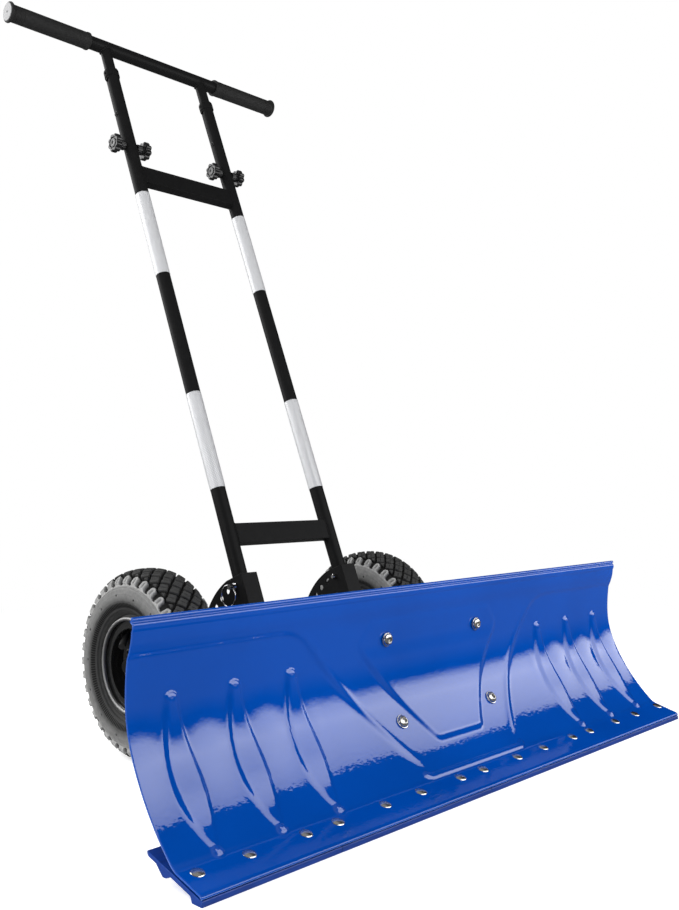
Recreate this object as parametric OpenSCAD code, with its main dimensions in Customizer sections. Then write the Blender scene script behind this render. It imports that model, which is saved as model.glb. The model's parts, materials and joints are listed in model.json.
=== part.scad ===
// Wheeled snow shovel: a curved steel blade on a two-wheel chassis with a folding, telescoping handle.
// Millimetres. +X is to the right seen from in front, -Y is forward (the blade side), +Z is up.
// The finished origin is on the ground, below the middle of the overall box. Until the last step,
// lengths in Y are measured from the wheel axle, so that the axle is at Y = 0.

/* [Blade] */
// Width of the blade
blade_w = 914; // [860:1:1000]
// Thickness of the blade sheet
sheet_t = 2; // [1.5:0.1:2.5]
// Distance from the axle forward to the blade's rearmost line
blade_back = 304.2; // [295:0.1:340]
// Radius of the middle of the blade's curve
roll_r_mid = 135; // [125:1:145]
// Radius of the lower part of the blade's curve
roll_r_low = 290; // [270:1:310]
// Radius of the upper part of the blade's curve
roll_r_top = 250; // [230:1:270]
// Depth of the flat lip along its slope
lip_len = 43.2; // [40:0.1:48]
// Slope of the flat lip above level ground
lip_slope = 16; // [14:1:18]

/* [Wear strip] */
// Spacing of the strip pieces along the blade
strip_pitch = 251; // [245:1:255]
// Sideways offset of one strip piece's middle
strip_offset = 93; // [85:1:100]
// Height of the strip's front edge
strip_h = 5.5; // [5:0.1:7]
// Radius of a strip bolt's shank
strip_bolt_r = 3; // [2.5:0.5:3]

/* [Wheels] */
// Outside radius of the tyre
tyre_r = 127; // [124:1:129]
// Width of the tyre
tyre_w = 84; // [80:1:86]
// Distance from the middle to a wheel's centre plane
wheel_x = 220; // [218:1:240]
// Radius of the axle
axle_r = 8; // [7.5:0.1:8.2]

/* [Hinge] */
// Height of the handle pivot
pivot_z = 135; // [133:1:137]
// Distance from the axle forward to the handle pivot
pivot_fwd = 84.6; // [83:0.1:86]
// Backward lean of the handle from upright
lean = 21.8; // [20:0.1:23]
// Radius of the bracket's quadrant
quadrant_r = 110; // [108:1:112]
// Radius of the circle of index holes
index_r = 96; // [94:1:97]
// Angle between neighbouring index holes
index_step = 10.7; // [10:0.1:11.5]
// Number of index holes
index_count = 5; // [3:1:5]
// Outside width of the bracket
bracket_w = 28; // [28:0.1:29]
// Radius of the lock pin
pin_r = 4; // [3.5:0.1:4]

/* [Handle] */
// Distance from the middle to a handle tube
tube_x = 99; // [96:1:102]
// Outside radius of a handle tube
tube_r = 11; // [10.9:0.1:11.2]
// Outside radius of a riser tube
riser_r = 9.1; // [9:0.05:9.1]
// Length of a handle tube above its pivot
tube_len = 996; // [985:1:1010]
// Distance from the pivot up to the handlebar
bar_reach = 1049; // [1040:1:1080]
// Overall width over the grips
bar_w = 547; // [520:1:580]
// Spacing of the two button holes
button_step = 71; // [60:1:72]

/* [Hidden] */
$fn = 48;

// Clearances: gap between parts that touch, and radial play of a pin in its hole
gap = 0.02;
play = 0.06;
// A cut runs this far past a wall
over = 1;
LEFT = -1;
RIGHT = 1;

blue = [0.0, 0.2, 0.62];
black = [0.07, 0.07, 0.075];
steel = [0.7, 0.7, 0.71];
rubber = [0.12, 0.12, 0.12];
grey = [0.6, 0.6, 0.6];

// ---- Blade section -------------------------------------------------------------------------
// The blade's front face is a path from its top edge down to its front edge, in the Y-Z plane.
// Each entry is [y, z, heading, mitre]: heading is measured from straight down, towards the
// front, and a point set back from the face by d lies d * mitre along the normal.
a_top = 10;
a_mid = 30;
a_low = 48;
a_lip = 90 - lip_slope;
front_z = strip_h + sheet_t * cos(lip_slope);
kink_z = front_z + lip_len * sin(lip_slope);
low_z = kink_z + roll_r_low * (sin(a_low) - sin(a_mid));
roll_z = low_z + roll_r_mid * sin(a_mid);
mid_y = -blade_back - roll_r_mid * (1 - cos(a_mid));
kink_y = mid_y - roll_r_low * (cos(a_mid) - cos(a_low));
front_y = kink_y - lip_len * cos(lip_slope);
shelf_y = -blade_back - roll_r_top * (1 - cos(a_top));
shelf_z = roll_z + roll_r_top * sin(a_top);
// The stiffening step near the top edge, and the upright rim above it
step_h = 13.2;
step_a = 19;
rim_h = 22;
rim_a = 6;
step_y = shelf_y - step_h * tan(step_a);
step_z = shelf_z + step_h;
top_y = step_y - rim_h * tan(rim_a);
top_z = step_z + rim_h;

function mitred(y, z, a, b) = [y, z, (a + b) / 2, 1 / cos((b - a) / 2)];
function top_arc(a) = [-blade_back - roll_r_top * (1 - cos(a)), roll_z - roll_r_top * sin(a), a, 1];
function mid_arc(a) = [-blade_back - roll_r_mid * (1 - cos(a)), roll_z - roll_r_mid * sin(a), a, 1];
function low_arc(a) = [mid_y - roll_r_low * (cos(a_mid) - cos(a)),
    low_z - roll_r_low * (sin(a) - sin(a_mid)), a, 1];
face_path = concat(
    [[top_y, top_z, -rim_a, 1],
     mitred(step_y, step_z, -rim_a, -step_a),
     mitred(shelf_y, shelf_z, -step_a, -a_top)],
    [for (a = [-a_top / 2 : a_top / 2 : 0]) top_arc(a)],
    [for (a = [5 : 5 : a_mid]) mid_arc(a)],
    [for (a = [a_mid + 4.5 : 4.5 : a_low - 1]) low_arc(a)],
    [mitred(kink_y, kink_z, a_low, a_lip),
     [front_y, front_z, a_lip, 1]]);
function set_back(p, d) = [p[0] + d * p[3] * cos(p[2]), p[1] - d * p[3] * sin(p[2])];
function layer(path, near, far) = concat([for (p = path) set_back(p, near)],
    [for (i = [len(path) - 1 : -1 : 0]) set_back(path[i], far)]);

// Where the face is at a height, and its heading there
function face_a(z) = z > roll_z ? -asin((z - roll_z) / roll_r_top)
    : z > low_z ? asin((roll_z - z) / roll_r_mid)
    : asin(sin(a_mid) + (low_z - z) / roll_r_low);
function face_y(z) = z > roll_z ? top_arc(face_a(z))[0]
    : z > low_z ? mid_arc(face_a(z))[0]
    : low_arc(face_a(z))[0];

// Extrudes a Y-Z outline along X, centred on x
module along_x(x, width) {
    translate([x - width / 2, 0, 0])
        rotate([90, 0, 90])
            linear_extrude(width) children();
}

// Puts +Z along the face's outward normal at height z
module on_face(x, z) {
    translate([x, face_y(z), z])
        rotate([90 - face_a(z), 0, 0]) children();
}

// ---- Fastener places -----------------------------------------------------------------------
mount_bolt_x = 90.25;
mount_bolt_z = [roll_z + 17.2, roll_z - 79.4];
mount_bolt_r = 4;
// The mounts' heads and nuts stand clear of the flats that make up the blade's curve
curve_gap = 0.5;
// Strip bolts: four to a piece, in a line along the lip
strip_bolt_from_front = 31.2;
strip_bolt_y = front_y + strip_bolt_from_front * cos(lip_slope);
strip_bolt_z = front_z + strip_bolt_from_front * sin(lip_slope);
strip_bolt_offsets = [-103, -30, 30, 103];
strip_end_margin = 6;
strip_centres = [for (i = [-2 : 1]) strip_offset + i * strip_pitch];
strip_bolt_x = [for (c = strip_centres) for (o = strip_bolt_offsets)
    if (abs(c + o) < blade_w / 2 - strip_end_margin) c + o];
// Strip thickness under the bolts, measured square to the lip
strip_t = 4.6;
strip_seat_t = strip_t + 2 * gap;

// Puts +Z square to the lip, at a strip bolt
module on_lip(x) {
    translate([x, strip_bolt_y, strip_bolt_z])
        rotate([lip_slope, 0, 0]) children();
}

// ---- Fasteners -----------------------------------------------------------------------------
module dome_head(r, h) {
    sphere_r = (r * r + h * h) / (2 * h);
    intersection() {
        cylinder(r = r, h = h);
        translate([0, 0, h - sphere_r]) sphere(r = sphere_r, $fn = 64);
    }
}

module socket_button_bolt(r, length) {
    difference() {
        dome_head(r * 1.9, r * 1.1);
        translate([0, 0, r * 0.45]) cylinder(r = r * 0.72, h = r, $fn = 6);
    }
    translate([0, 0, -length]) cylinder(r = r, h = length + r * 0.3);
}

module hex_bolt(r, length) {
    cylinder(r = r * 1.8, h = r * 1.3, $fn = 6);
    translate([0, 0, -length]) cylinder(r = r, h = length + r * 0.5);
}

// A nut whose top face is at z = 0, on a thread of radius r
module hex_nut(r) {
    nut_h = r * 1.6;
    translate([0, 0, -nut_h])
        difference() {
            cylinder(r = r * 1.85, h = nut_h, $fn = 6);
            translate([0, 0, -over]) cylinder(r = r + play, h = nut_h + 2 * over);
        }
}

module ring(inner_r, outer_r, h) {
    difference() {
        cylinder(r = outer_r, h = h);
        translate([0, 0, -over]) cylinder(r = inner_r, h = h + 2 * over);
    }
}

// ---- Blade and wear strips -----------------------------------------------------------------
module blade() {
    color(blue)
        difference() {
            along_x(0, blade_w) polygon(layer(face_path, 0, sheet_t));
            for (x = [-mount_bolt_x, mount_bolt_x])
                for (z = mount_bolt_z)
                    on_face(x, z) cylinder(r = mount_bolt_r + play, h = 20, center = true);
            for (x = strip_bolt_x)
                on_lip(x) cylinder(r = strip_bolt_r + play, h = 20, center = true);
        }
}

// The strip's end section: a plate along the underside of the lip, a foot at its front edge that
// stands on the ground, and a runner under its middle
strip_depth = 82;
foot_depth = 15.2;
runner_front = 53;
runner_back = 58;
runner_z = 10.8;
module strip_section() {
    top = sheet_t + gap;
    under_front = [front_y + top * sin(lip_slope), front_z - top * cos(lip_slope)];
    function along(depth, below) = [front_y + depth,
        under_front[1] + (depth - top * sin(lip_slope)) * tan(lip_slope) - below / cos(lip_slope)];
    foot_draft = 2;
    runner_flare = [7, 10];
    end_draft = 2.4;
    polygon([
        [front_y, 0],
        [front_y + foot_depth, 0],
        along(foot_depth + foot_draft, strip_t),
        along(runner_front - runner_flare[0], strip_t),
        [front_y + runner_front, runner_z],
        [front_y + runner_back, runner_z],
        along(runner_back + runner_flare[1], strip_t),
        along(strip_depth - end_draft, strip_t),
        along(strip_depth, strip_t / 2),
        along(strip_depth, 0),
        under_front]);
}

module wear_strips() {
    seam = 0.4;
    color([0.0, 0.16, 0.5])
        difference() {
            for (c = strip_centres) {
                left = max(c - strip_pitch / 2, -blade_w / 2);
                right = min(c + strip_pitch / 2, blade_w / 2);
                along_x((left + right) / 2, right - left - seam) strip_section();
            }
            for (x = strip_bolt_x)
                on_lip(x) cylinder(r = strip_bolt_r + play, h = 40, center = true);
        }
}

module strip_bolts() {
    head_r = 7;
    head_h = 3.2;
    shank = sheet_t + strip_seat_t + 5;
    color(steel)
        for (x = strip_bolt_x)
            on_lip(x) {
                translate([0, 0, gap]) dome_head(head_r, head_h);
                translate([0, 0, -shank]) cylinder(r = strip_bolt_r, h = shank + head_h / 2);
            }
}

module strip_nuts() {
    color(steel)
        for (x = strip_bolt_x)
            on_lip(x) translate([0, 0, -sheet_t - strip_seat_t]) hex_nut(strip_bolt_r);
}

// ---- Chassis -------------------------------------------------------------------------------
mount_t = 4;
mount_w = 44;
mount_x = 95;
arm_w = 25;
arm_wall = 2;
arm_z = 100;
// Stretch of the blade's path that the mount bars follow, clear of both its ends
mount_path = [for (p = face_path) if (p[1] < shelf_z - 1 && p[1] > roll_z - 115) p];
mount_far = sheet_t + gap + mount_t;

// Everything in front of the mount bars' back
module before_mount() {
    polygon(concat([for (p = face_path) set_back(p, mount_far + gap)],
        [[front_y - 50, -over], [front_y - 50, top_z + over], [top_y, top_z + over]]));
}

module blade_mount(side) {
    color(black)
        difference() {
            along_x(side * mount_x, mount_w) polygon(layer(mount_path, sheet_t + gap, mount_far));
            for (z = mount_bolt_z)
                on_face(side * mount_bolt_x, z)
                    cylinder(r = mount_bolt_r + play, h = 40, center = true);
        }
}
module blade_mount_left() blade_mount(LEFT);
module blade_mount_right() blade_mount(RIGHT);

module blade_bolts() {
    washer_r = 8.5;
    washer_t = 1.2;
    shank = 16;
    color(steel)
        for (x = [-mount_bolt_x, mount_bolt_x])
            for (z = mount_bolt_z)
                on_face(x, z)
                    translate([0, 0, curve_gap]) {
                        cylinder(r = washer_r, h = washer_t);
                        translate([0, 0, washer_t]) socket_button_bolt(mount_bolt_r, shank);
                    }
}

module blade_nuts() {
    color(steel)
        for (x = [-mount_bolt_x, mount_bolt_x])
            for (z = mount_bolt_z)
                on_face(x, z) translate([0, 0, -mount_far - curve_gap]) hex_nut(mount_bolt_r);
}

// The handle tube's frame at its pivot: +Z runs up the tube, -Y is square to it and forward
module on_tube(side, t) {
    translate([side * tube_x, -pivot_fwd, pivot_z])
        rotate([-lean, 0, 0])
            translate([0, 0, t]) children();
}

web_front = 20;
web_top = 109;
plate_t = 2.3;
cheek_in = bracket_w / 2 - plate_t;

module arm(side) {
    back = 40;
    color(black)
        difference() {
            translate([side * tube_x - arm_w / 2, -blade_back - back, arm_z])
                cube([arm_w, blade_back - pivot_fwd + 2 * back, arm_w]);
            translate([side * tube_x - arm_w / 2 + arm_wall, -blade_back - back - over, arm_z + arm_wall])
                cube([arm_w - 2 * arm_wall, blade_back, arm_w - 2 * arm_wall]);
            along_x(side * tube_x, arm_w + 2 * over) before_mount();
            on_tube(side, 0)
                translate([-arm_w, -web_front - gap, -quadrant_r])
                    cube([2 * arm_w, quadrant_r, 2 * quadrant_r]);
        }
}
module arm_left() arm(LEFT);
module arm_right() arm(RIGHT);

module gussets() {
    gusset_x = 106;
    gusset_t = 5;
    gusset_len = 110;
    base_z = arm_z + arm_w + gap;
    color(black)
        for (side = [LEFT, RIGHT])
            along_x(side * gusset_x, gusset_t)
                difference() {
                    polygon([[-blade_back - 30, base_z], [-blade_back + gusset_len, base_z],
                        [-blade_back + gusset_len, base_z + 8], [-blade_back + 12, roll_z + 30],
                        [-blade_back - 30, roll_z + 30]]);
                    before_mount();
                }
}

sleeve_r = 12.5;
module cross_tube() {
    length = 2 * tube_x - bracket_w - 2 * gap;
    color(black)
        translate([-length / 2, 0, tyre_r])
            rotate([0, 90, 0]) ring(axle_r + 0.3, sleeve_r, length);
}

// A folded channel: two quadrant cheeks, joined in front by a web that leans with the handle
module hinge_bracket(side) {
    low_z_cut = 98;
    web_back = 14;
    color(black)
        difference() {
            translate([side * tube_x, -pivot_fwd, pivot_z])
                rotate([90, 0, 90])
                    translate([0, 0, -bracket_w / 2])
                        linear_extrude(bracket_w)
                            intersection() {
                                union() {
                                    circle(r = quadrant_r, $fn = 96);
                                    rotate(-lean) translate([-web_front, -quadrant_r])
                                        square([web_front + web_back, quadrant_r + web_top]);
                                }
                                rotate(-lean) translate([-web_front, -2 * quadrant_r])
                                    square([3 * quadrant_r, 2 * quadrant_r + web_top]);
                                translate([-2 * quadrant_r, low_z_cut - pivot_z])
                                    square([4 * quadrant_r, 3 * quadrant_r]);
                            }
            on_tube(side, 0)
                translate([-cheek_in, plate_t - web_front, -2 * quadrant_r])
                    cube([2 * cheek_in, 4 * quadrant_r, 4 * quadrant_r]);
            translate([side * tube_x, -pivot_fwd, pivot_z])
                rotate([0, 90, 0]) cylinder(r = pin_r + play, h = 2 * bracket_w, center = true);
            translate([side * tube_x, 0, tyre_r])
                rotate([0, 90, 0]) cylinder(r = axle_r + play, h = 2 * bracket_w, center = true);
            for (i = [0 : index_count - 1])
                index_hole(side, i) cylinder(r = pin_r + play, h = 2 * bracket_w, center = true);
        }
}
module hinge_bracket_left() hinge_bracket(LEFT);
module hinge_bracket_right() hinge_bracket(RIGHT);

// Puts +Z along an index hole's axis, outwards; hole 0 is the one that the tube now stands at
module index_hole(side, i) {
    a = 90 - lean - i * index_step;
    translate([side * tube_x, -pivot_fwd + index_r * cos(a), pivot_z + index_r * sin(a)])
        rotate([0, side * 90, 0]) children();
}

// ---- Axle ----------------------------------------------------------------------------------
hub_half = 27;
hub_out = wheel_x + hub_half;
washer_t = 2.4;
cotter_x = hub_out + 6;
axle_half = hub_out + 12;

module on_axle(side, x) {
    translate([side * x, 0, tyre_r])
        rotate([0, side * 90, 0]) children();
}

module axle() {
    color(black)
        difference() {
            on_axle(RIGHT, -axle_half) cylinder(r = axle_r, h = 2 * axle_half);
            for (side = [LEFT, RIGHT])
                translate([side * cotter_x, 0, tyre_r])
                    cylinder(r = 1.7, h = 3 * axle_r, center = true);
        }
}

module axle_spacers() {
    first = tube_x + bracket_w / 2 + gap;
    length = wheel_x - hub_half - washer_t - 0.2 - first;
    color(black)
        for (side = [LEFT, RIGHT])
            on_axle(side, first) ring(axle_r + play, 11, length);
}

module axle_washers() {
    color(steel)
        for (side = [LEFT, RIGHT]) {
            on_axle(side, wheel_x - hub_half - washer_t - 0.1) ring(axle_r + play, 15, washer_t);
            on_axle(side, hub_out + 0.1) ring(axle_r + play, 15, washer_t);
        }
}

module cotter_pins() {
    wire_r = 1.6;
    eye_r = 3.6;
    leg = 14;
    color(steel)
        for (side = [LEFT, RIGHT])
            translate([side * cotter_x, 0, tyre_r]) {
                translate([0, 0, -leg]) cylinder(r = wire_r, h = 2 * leg);
                translate([0, 0, leg + eye_r])
                    rotate([0, 90, 0]) rotate_extrude() translate([eye_r, 0]) circle(r = wire_r);
            }
}

module pivot_bolts() {
    color(steel)
        for (side = [LEFT, RIGHT])
            translate([side * (tube_x + bracket_w / 2 + gap), -pivot_fwd, pivot_z])
                rotate([0, side * 90, 0]) hex_bolt(pin_r, bracket_w + 9);
}

module pivot_nuts() {
    color(steel)
        for (side = [LEFT, RIGHT])
            translate([side * (tube_x - bracket_w / 2 - gap), -pivot_fwd, pivot_z])
                rotate([0, side * 90, 0]) hex_nut(pin_r);
}

// ---- Wheels --------------------------------------------------------------------------------
// Wheel outlines are [radius, distance along the axle from the wheel's centre plane]
module at_wheel(side) {
    on_axle(side, wheel_x) children();
}

seat_r = 51;
flange_r = 63;
flange_in = 27.5;
// A quarter-lobed closed curve, for tyre and tube walls: half width w, reaching up and down from r
function lobe(a, r, w, up, down, power) =
    [r + (a > 0 ? up : -down) * pow(abs(sin(a)), 0.9), w * pow(abs(cos(a)), a > 0 ? 0.8 : power)];

tyre_waist = tyre_r - 35;
bead_top_a = -54;
function flipped(path) = [for (i = [len(path) - 1 : -1 : 0]) [path[i][0], -path[i][1]]];
module tyre_section() {
    toe = 18;
    crown = [[tyre_r, 0]];
    lining = [[tyre_waist + 27, 0]];
    outer = concat([[seat_r + 0.2, toe], [seat_r + 0.2, flange_in - 0.1]],
        [for (a = [bead_top_a : 9 : 81]) lobe(a, tyre_waist, tyre_w / 2, 35, 30, 0.8)]);
    inner = [for (a = [80 : -10 : -60]) lobe(a, tyre_waist - 2, tyre_w / 2 - 6, 29, 29, 0.8)];
    polygon(concat(outer, crown, flipped(outer), flipped(inner), lining, inner));
}

module tyre(side) {
    color(rubber)
        at_wheel(side) rotate_extrude($fn = 96) tyre_section();
}
module tyre_left() tyre(LEFT);
module tyre_right() tyre(RIGHT);

module tube_wall(inset) {
    waist = tyre_waist - 4;
    half = [for (a = [-90 : 10 : 90])
        lobe(a, waist, tyre_w / 2 - 8 - inset, 30.5 - inset, 34 - inset, 2.2)];
    polygon(concat(half, [for (i = [len(half) - 2 : -1 : 1]) [half[i][0], -half[i][1]]]));
}

module inner_tube(side) {
    wall = 2;
    color(black)
        at_wheel(side)
            rotate_extrude($fn = 96)
                difference() {
                    tube_wall(0);
                    tube_wall(wall);
                }
}
module inner_tube_left() inner_tube(LEFT);
module inner_tube_right() inner_tube(RIGHT);

rim_t = 1.8;
rim_bolt_circle = 30;
rim_bolt_r = 4;
hub_r = 20;
// Pressed half rim: a flat web, a dished barrel, a bead seat and a rolled flange
module rim_section() {
    polygon([[hub_r + 2, gap], [40, gap], [46, 5], [seat_r, 9], [seat_r, flange_in],
        [flange_r - 2, flange_in], [flange_r, flange_in + 1.6], [flange_r, flange_in + 5.5],
        [flange_r - rim_t, flange_in + 5.5], [flange_r - rim_t, flange_in + 2.6],
        [flange_r - 2.8, flange_in + rim_t], [seat_r - rim_t, flange_in + rim_t],
        [seat_r - rim_t, 9.8], [45, 6.6], [39.3, rim_t], [hub_r + 2, rim_t]]);
}

// The valve leans outwards as it runs from the rim's barrel towards the hub
valve_a = 42;
valve_seat_r = 53;
valve_seat_z = 10.6;
module on_valve() {
    rotate([0, 0, 45])
        translate([valve_seat_r, 0, valve_seat_z])
            rotate([0, valve_a - 90, 0]) children();
}

module rim_half(side) {
    color(black)
        at_wheel(side)
            difference() {
                rotate_extrude($fn = 96) rim_section();
                rim_bolt_places() cylinder(r = rim_bolt_r + 0.3, h = 20, center = true);
                on_valve() translate([0, 0, -8]) cylinder(r = 4.5, h = 40);
            }
}
module rim_bolt_places() {
    for (a = [0 : 90 : 270])
        rotate([0, 0, a]) translate([rim_bolt_circle, 0, 0]) children();
}
module rim_outer_left() rim_half(LEFT);
module rim_outer_right() rim_half(RIGHT);

module rim_inner(side) {
    color(black)
        at_wheel(side)
            mirror([0, 0, 1])
                difference() {
                    rotate_extrude($fn = 96) rim_section();
                    rim_bolt_places() cylinder(r = rim_bolt_r + 0.3, h = 20, center = true);
                }
}
module rim_inner_left() rim_inner(LEFT);
module rim_inner_right() rim_inner(RIGHT);

hub_flange_z = rim_t + gap;
hub_flange_t = 3.5;
bearing_w = 11;
bearing_r = 17.5;
module hub(side) {
    color(black)
        at_wheel(side)
            difference() {
                union() {
                    translate([0, 0, -hub_half]) cylinder(r = hub_r, h = 2 * hub_half);
                    translate([0, 0, hub_flange_z]) cylinder(r = 38, h = hub_flange_t);
                }
                cylinder(r = axle_r + 2, h = 4 * hub_half, center = true);
                for (end = [-hub_half - over, hub_half - bearing_w])
                    translate([0, 0, end]) cylinder(r = bearing_r, h = bearing_w + over);
                rim_bolt_places() cylinder(r = rim_bolt_r + 0.3, h = 20, center = true);
            }
}
module hub_left() hub(LEFT);
module hub_right() hub(RIGHT);

// Sealed ball bearings: the seals sit a little below the ring faces
module bearings(side) {
    seal_in = 12.2;
    seal_out = 14.8;
    seal_depth = 0.8;
    color(grey)
        at_wheel(side)
            for (end = [-hub_half + gap, hub_half - bearing_w + gap])
                translate([0, 0, end])
                    difference() {
                        ring(axle_r + play, bearing_r - gap, bearing_w - 2 * gap);
                        for (face = [-over, bearing_w - seal_depth])
                            translate([0, 0, face]) ring(seal_in, seal_out, seal_depth + over);
                    }
}
module bearings_left() bearings(LEFT);
module bearings_right() bearings(RIGHT);

module rim_bolts(side) {
    color(steel)
        at_wheel(side)
            rim_bolt_places() {
                translate([0, 0, hub_flange_z + hub_flange_t + gap]) hex_bolt(rim_bolt_r, 16);
                translate([0, 0, -rim_t - gap]) hex_nut(rim_bolt_r);
            }
}
module rim_bolts_left() rim_bolts(LEFT);
module rim_bolts_right() rim_bolts(RIGHT);

module valve(side) {
    stem_r = 4;
    cap_r = 4.8;
    color(black)
        at_wheel(side)
            on_valve() {
                cylinder(r = stem_r, h = 24);
                translate([0, 0, 18]) cylinder(r = cap_r, h = 10);
            }
}
module valve_left() valve(LEFT);
module valve_right() valve(RIGHT);

// ---- Handle --------------------------------------------------------------------------------
tube_tail = 12.5;
tube_bore = riser_r + 0.08;
clamp_t = 843.5;
stud_r = 3;
// The button stands in the lower hole, and in the upper one when the riser is drawn up
button_t = 907;
button_r = 3.9;

module cross_hole(side, t, r) {
    on_tube(side, t) rotate([0, 90, 0]) cylinder(r = r, h = 4 * tube_r, center = true);
}

// Both tubes have their button holes on the left
module button_hole(side, t) {
    on_tube(side, t) rotate([0, -90, 0]) cylinder(r = button_r + play, h = 2 * tube_r);
}

module lower_tube(side) {
    color(black)
        difference() {
            on_tube(side, -tube_tail) cylinder(r = tube_r, h = tube_len + tube_tail);
            on_tube(side, -tube_tail - over) cylinder(r = tube_bore, h = tube_len + tube_tail + 2 * over);
            cross_hole(side, 0, pin_r + play);
            cross_hole(side, index_r, pin_r + play);
            cross_hole(side, clamp_t, stud_r + play);
            button_hole(side, button_t);
            button_hole(side, button_t + button_step);
        }
}
module lower_tube_left() lower_tube(LEFT);
module lower_tube_right() lower_tube(RIGHT);

bar_h = 30;
bar_d = 15;
module crossbar(t) {
    wall = 1.5;
    color(black)
        difference() {
            on_tube(0, t) cube([2 * tube_x, bar_d, bar_h], center = true);
            on_tube(0, t)
                cube([2 * tube_x + 2 * over, bar_d - 2 * wall, bar_h - 2 * wall], center = true);
            for (side = [LEFT, RIGHT])
                on_tube(side, t) cylinder(r = tube_r + gap, h = 2 * bar_h, center = true);
        }
}
module lower_crossbar() crossbar(171.5);
module upper_crossbar() crossbar(789);

band_spans = [[242.2, 395.3], [601.2, 750.3]];
module reflective_bands() {
    band_t = 0.35;
    color([0.9, 0.9, 0.9])
        for (side = [LEFT, RIGHT])
            for (span = band_spans)
                on_tube(side, span[0]) ring(tube_r + gap, tube_r + gap + band_t, span[1] - span[0]);
}

module pivot_washers() {
    slack = 0.04;
    color([0.8, 0.8, 0.78])
        for (side = [LEFT, RIGHT])
            for (face = [-cheek_in + slack, tube_r + slack])
                translate([side * tube_x + face, -pivot_fwd, pivot_z])
                    rotate([0, 90, 0]) ring(pin_r + play, 9, cheek_in - tube_r - 2 * slack);
}

grip_r = 13.75;
grip_len = 141;
flange_t = 4;
grip_flange = 2.6;
cap_t = 1.5;
bar_end = bar_w / 2 - cap_t - 3;

module on_bar(side, x) {
    on_tube(0, bar_reach) rotate([0, side * 90, 0]) translate([0, 0, x]) children();
}

module handlebar() {
    wall = 1.5;
    color(black) on_bar(RIGHT, -bar_end) ring(tube_r - wall, tube_r, 2 * bar_end);
}

riser_bottom = 758;
module riser(side) {
    wall = 1.5;
    slot_play = 0.2;
    color(black)
        difference() {
            on_tube(side, riser_bottom) cylinder(r = riser_r, h = bar_reach - riser_bottom);
            on_tube(side, riser_bottom - over) cylinder(r = riser_r - wall, h = bar_reach);
            on_bar(RIGHT, -bar_w) cylinder(r = tube_r + gap, h = 2 * bar_w);
            // The slot lets the riser slide past the clamp stud
            for (t = [clamp_t, clamp_t - button_step])
                cross_hole(side, t, stud_r + slot_play);
            on_tube(side, clamp_t - button_step)
                translate([-2 * riser_r, -stud_r - slot_play, 0])
                    cube([4 * riser_r, 2 * (stud_r + slot_play), button_step]);
            button_hole(side, button_t);
        }
}
module riser_left() riser(LEFT);
module riser_right() riser(RIGHT);

module grip(side) {
    start = bar_w / 2 - cap_t - grip_len;
    seat = 2.5;
    color(rubber)
        difference() {
            union() {
                on_bar(side, start) cylinder(r = grip_r, h = grip_len);
                on_bar(side, start + grip_len - flange_t) cylinder(r = grip_r + grip_flange, h = flange_t);
            }
            on_bar(side, start - over) cylinder(r = tube_r + gap, h = grip_len - seat + over);
        }
}
module grip_left() grip(LEFT);
module grip_right() grip(RIGHT);

module grip_caps() {
    color(grey)
        for (side = [LEFT, RIGHT])
            on_bar(side, bar_w / 2 - cap_t + gap) ring(1.6, grip_r, cap_t - gap);
}

// A rounded button on a folded leaf spring that sits inside the riser
module snap_button(side) {
    leaf_w = 6;
    leaf_t = 0.8;
    proud = 2;
    leaf_x = riser_r - 3;
    fold = -34;
    color(steel)
        on_tube(side, button_t)
            mirror([1, 0, 0]) {
                translate([leaf_x - leaf_t, 0, 0])
                    rotate([0, 90, 0]) cylinder(r = button_r, h = tube_r + proud - leaf_x - 0.2);
                translate([tube_r + proud - 1 - button_r * 0.6, 0, 0])
                    intersection() {
                        sphere(r = button_r);
                        rotate([0, 90, 0]) cylinder(r = button_r, h = button_r);
                    }
                rotate([90, 0, 0])
                    translate([0, 0, -leaf_w / 2])
                        linear_extrude(leaf_w)
                            polygon([[leaf_x, 6], [leaf_x, -6], [1.5, fold], [-1, fold],
                                [-2.6, -4], [-1.8, -4], [-0.4, fold + leaf_t],
                                [1, fold + leaf_t], [leaf_x - leaf_t, -6], [leaf_x - leaf_t, 6]]);
            }
}
module snap_button_left() snap_button(LEFT);
module snap_button_right() snap_button(RIGHT);

// ---- Clamp knobs ---------------------------------------------------------------------------
knob_hub_r = 8;
knob_head_t = 10;
knob_out = 33;
knob_lobes = 8;

// A star knob, facing out along +Z from the tube's axis
module knob(side, face) {
    start = tube_r + 0.3;
    lobe_r = 3.2;
    core_r = 12.2;
    color([0.35, 0.35, 0.36])
        on_tube(side, clamp_t)
            rotate([0, face * 90, 0])
                difference() {
                    union() {
                        translate([0, 0, start])
                            cylinder(r = knob_hub_r, h = knob_out - knob_head_t - start + over);
                        translate([0, 0, knob_out - knob_head_t]) {
                            cylinder(r = core_r, h = knob_head_t);
                            for (i = [0 : knob_lobes - 1])
                                rotate([0, 0, i * 360 / knob_lobes])
                                    translate([core_r - 0.4, 0, 0])
                                        cylinder(r = lobe_r, h = knob_head_t);
                        }
                    }
                    cylinder(r = stud_r + play, h = knob_out - 5);
                }
}
module knob_outer_left() knob(LEFT, LEFT);
module knob_inner_left() knob(LEFT, RIGHT);
module knob_outer_right() knob(RIGHT, RIGHT);
module knob_inner_right() knob(RIGHT, LEFT);

module clamp_stud(side) {
    half = knob_out - 6;
    color(steel)
        on_tube(side, clamp_t)
            rotate([0, 90, 0]) translate([0, 0, -half]) cylinder(r = stud_r, h = 2 * half);
}
module clamp_stud_left() clamp_stud(LEFT);
module clamp_stud_right() clamp_stud(RIGHT);

// ---- Lock pins -----------------------------------------------------------------------------
pin_tip = 6;
ring_x = bracket_w / 2 + 6;
ring_r = 15;
ring_wire = 1;
// The ring hangs down and a little back from its hole in the pin
ring_hang = 27;

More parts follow.
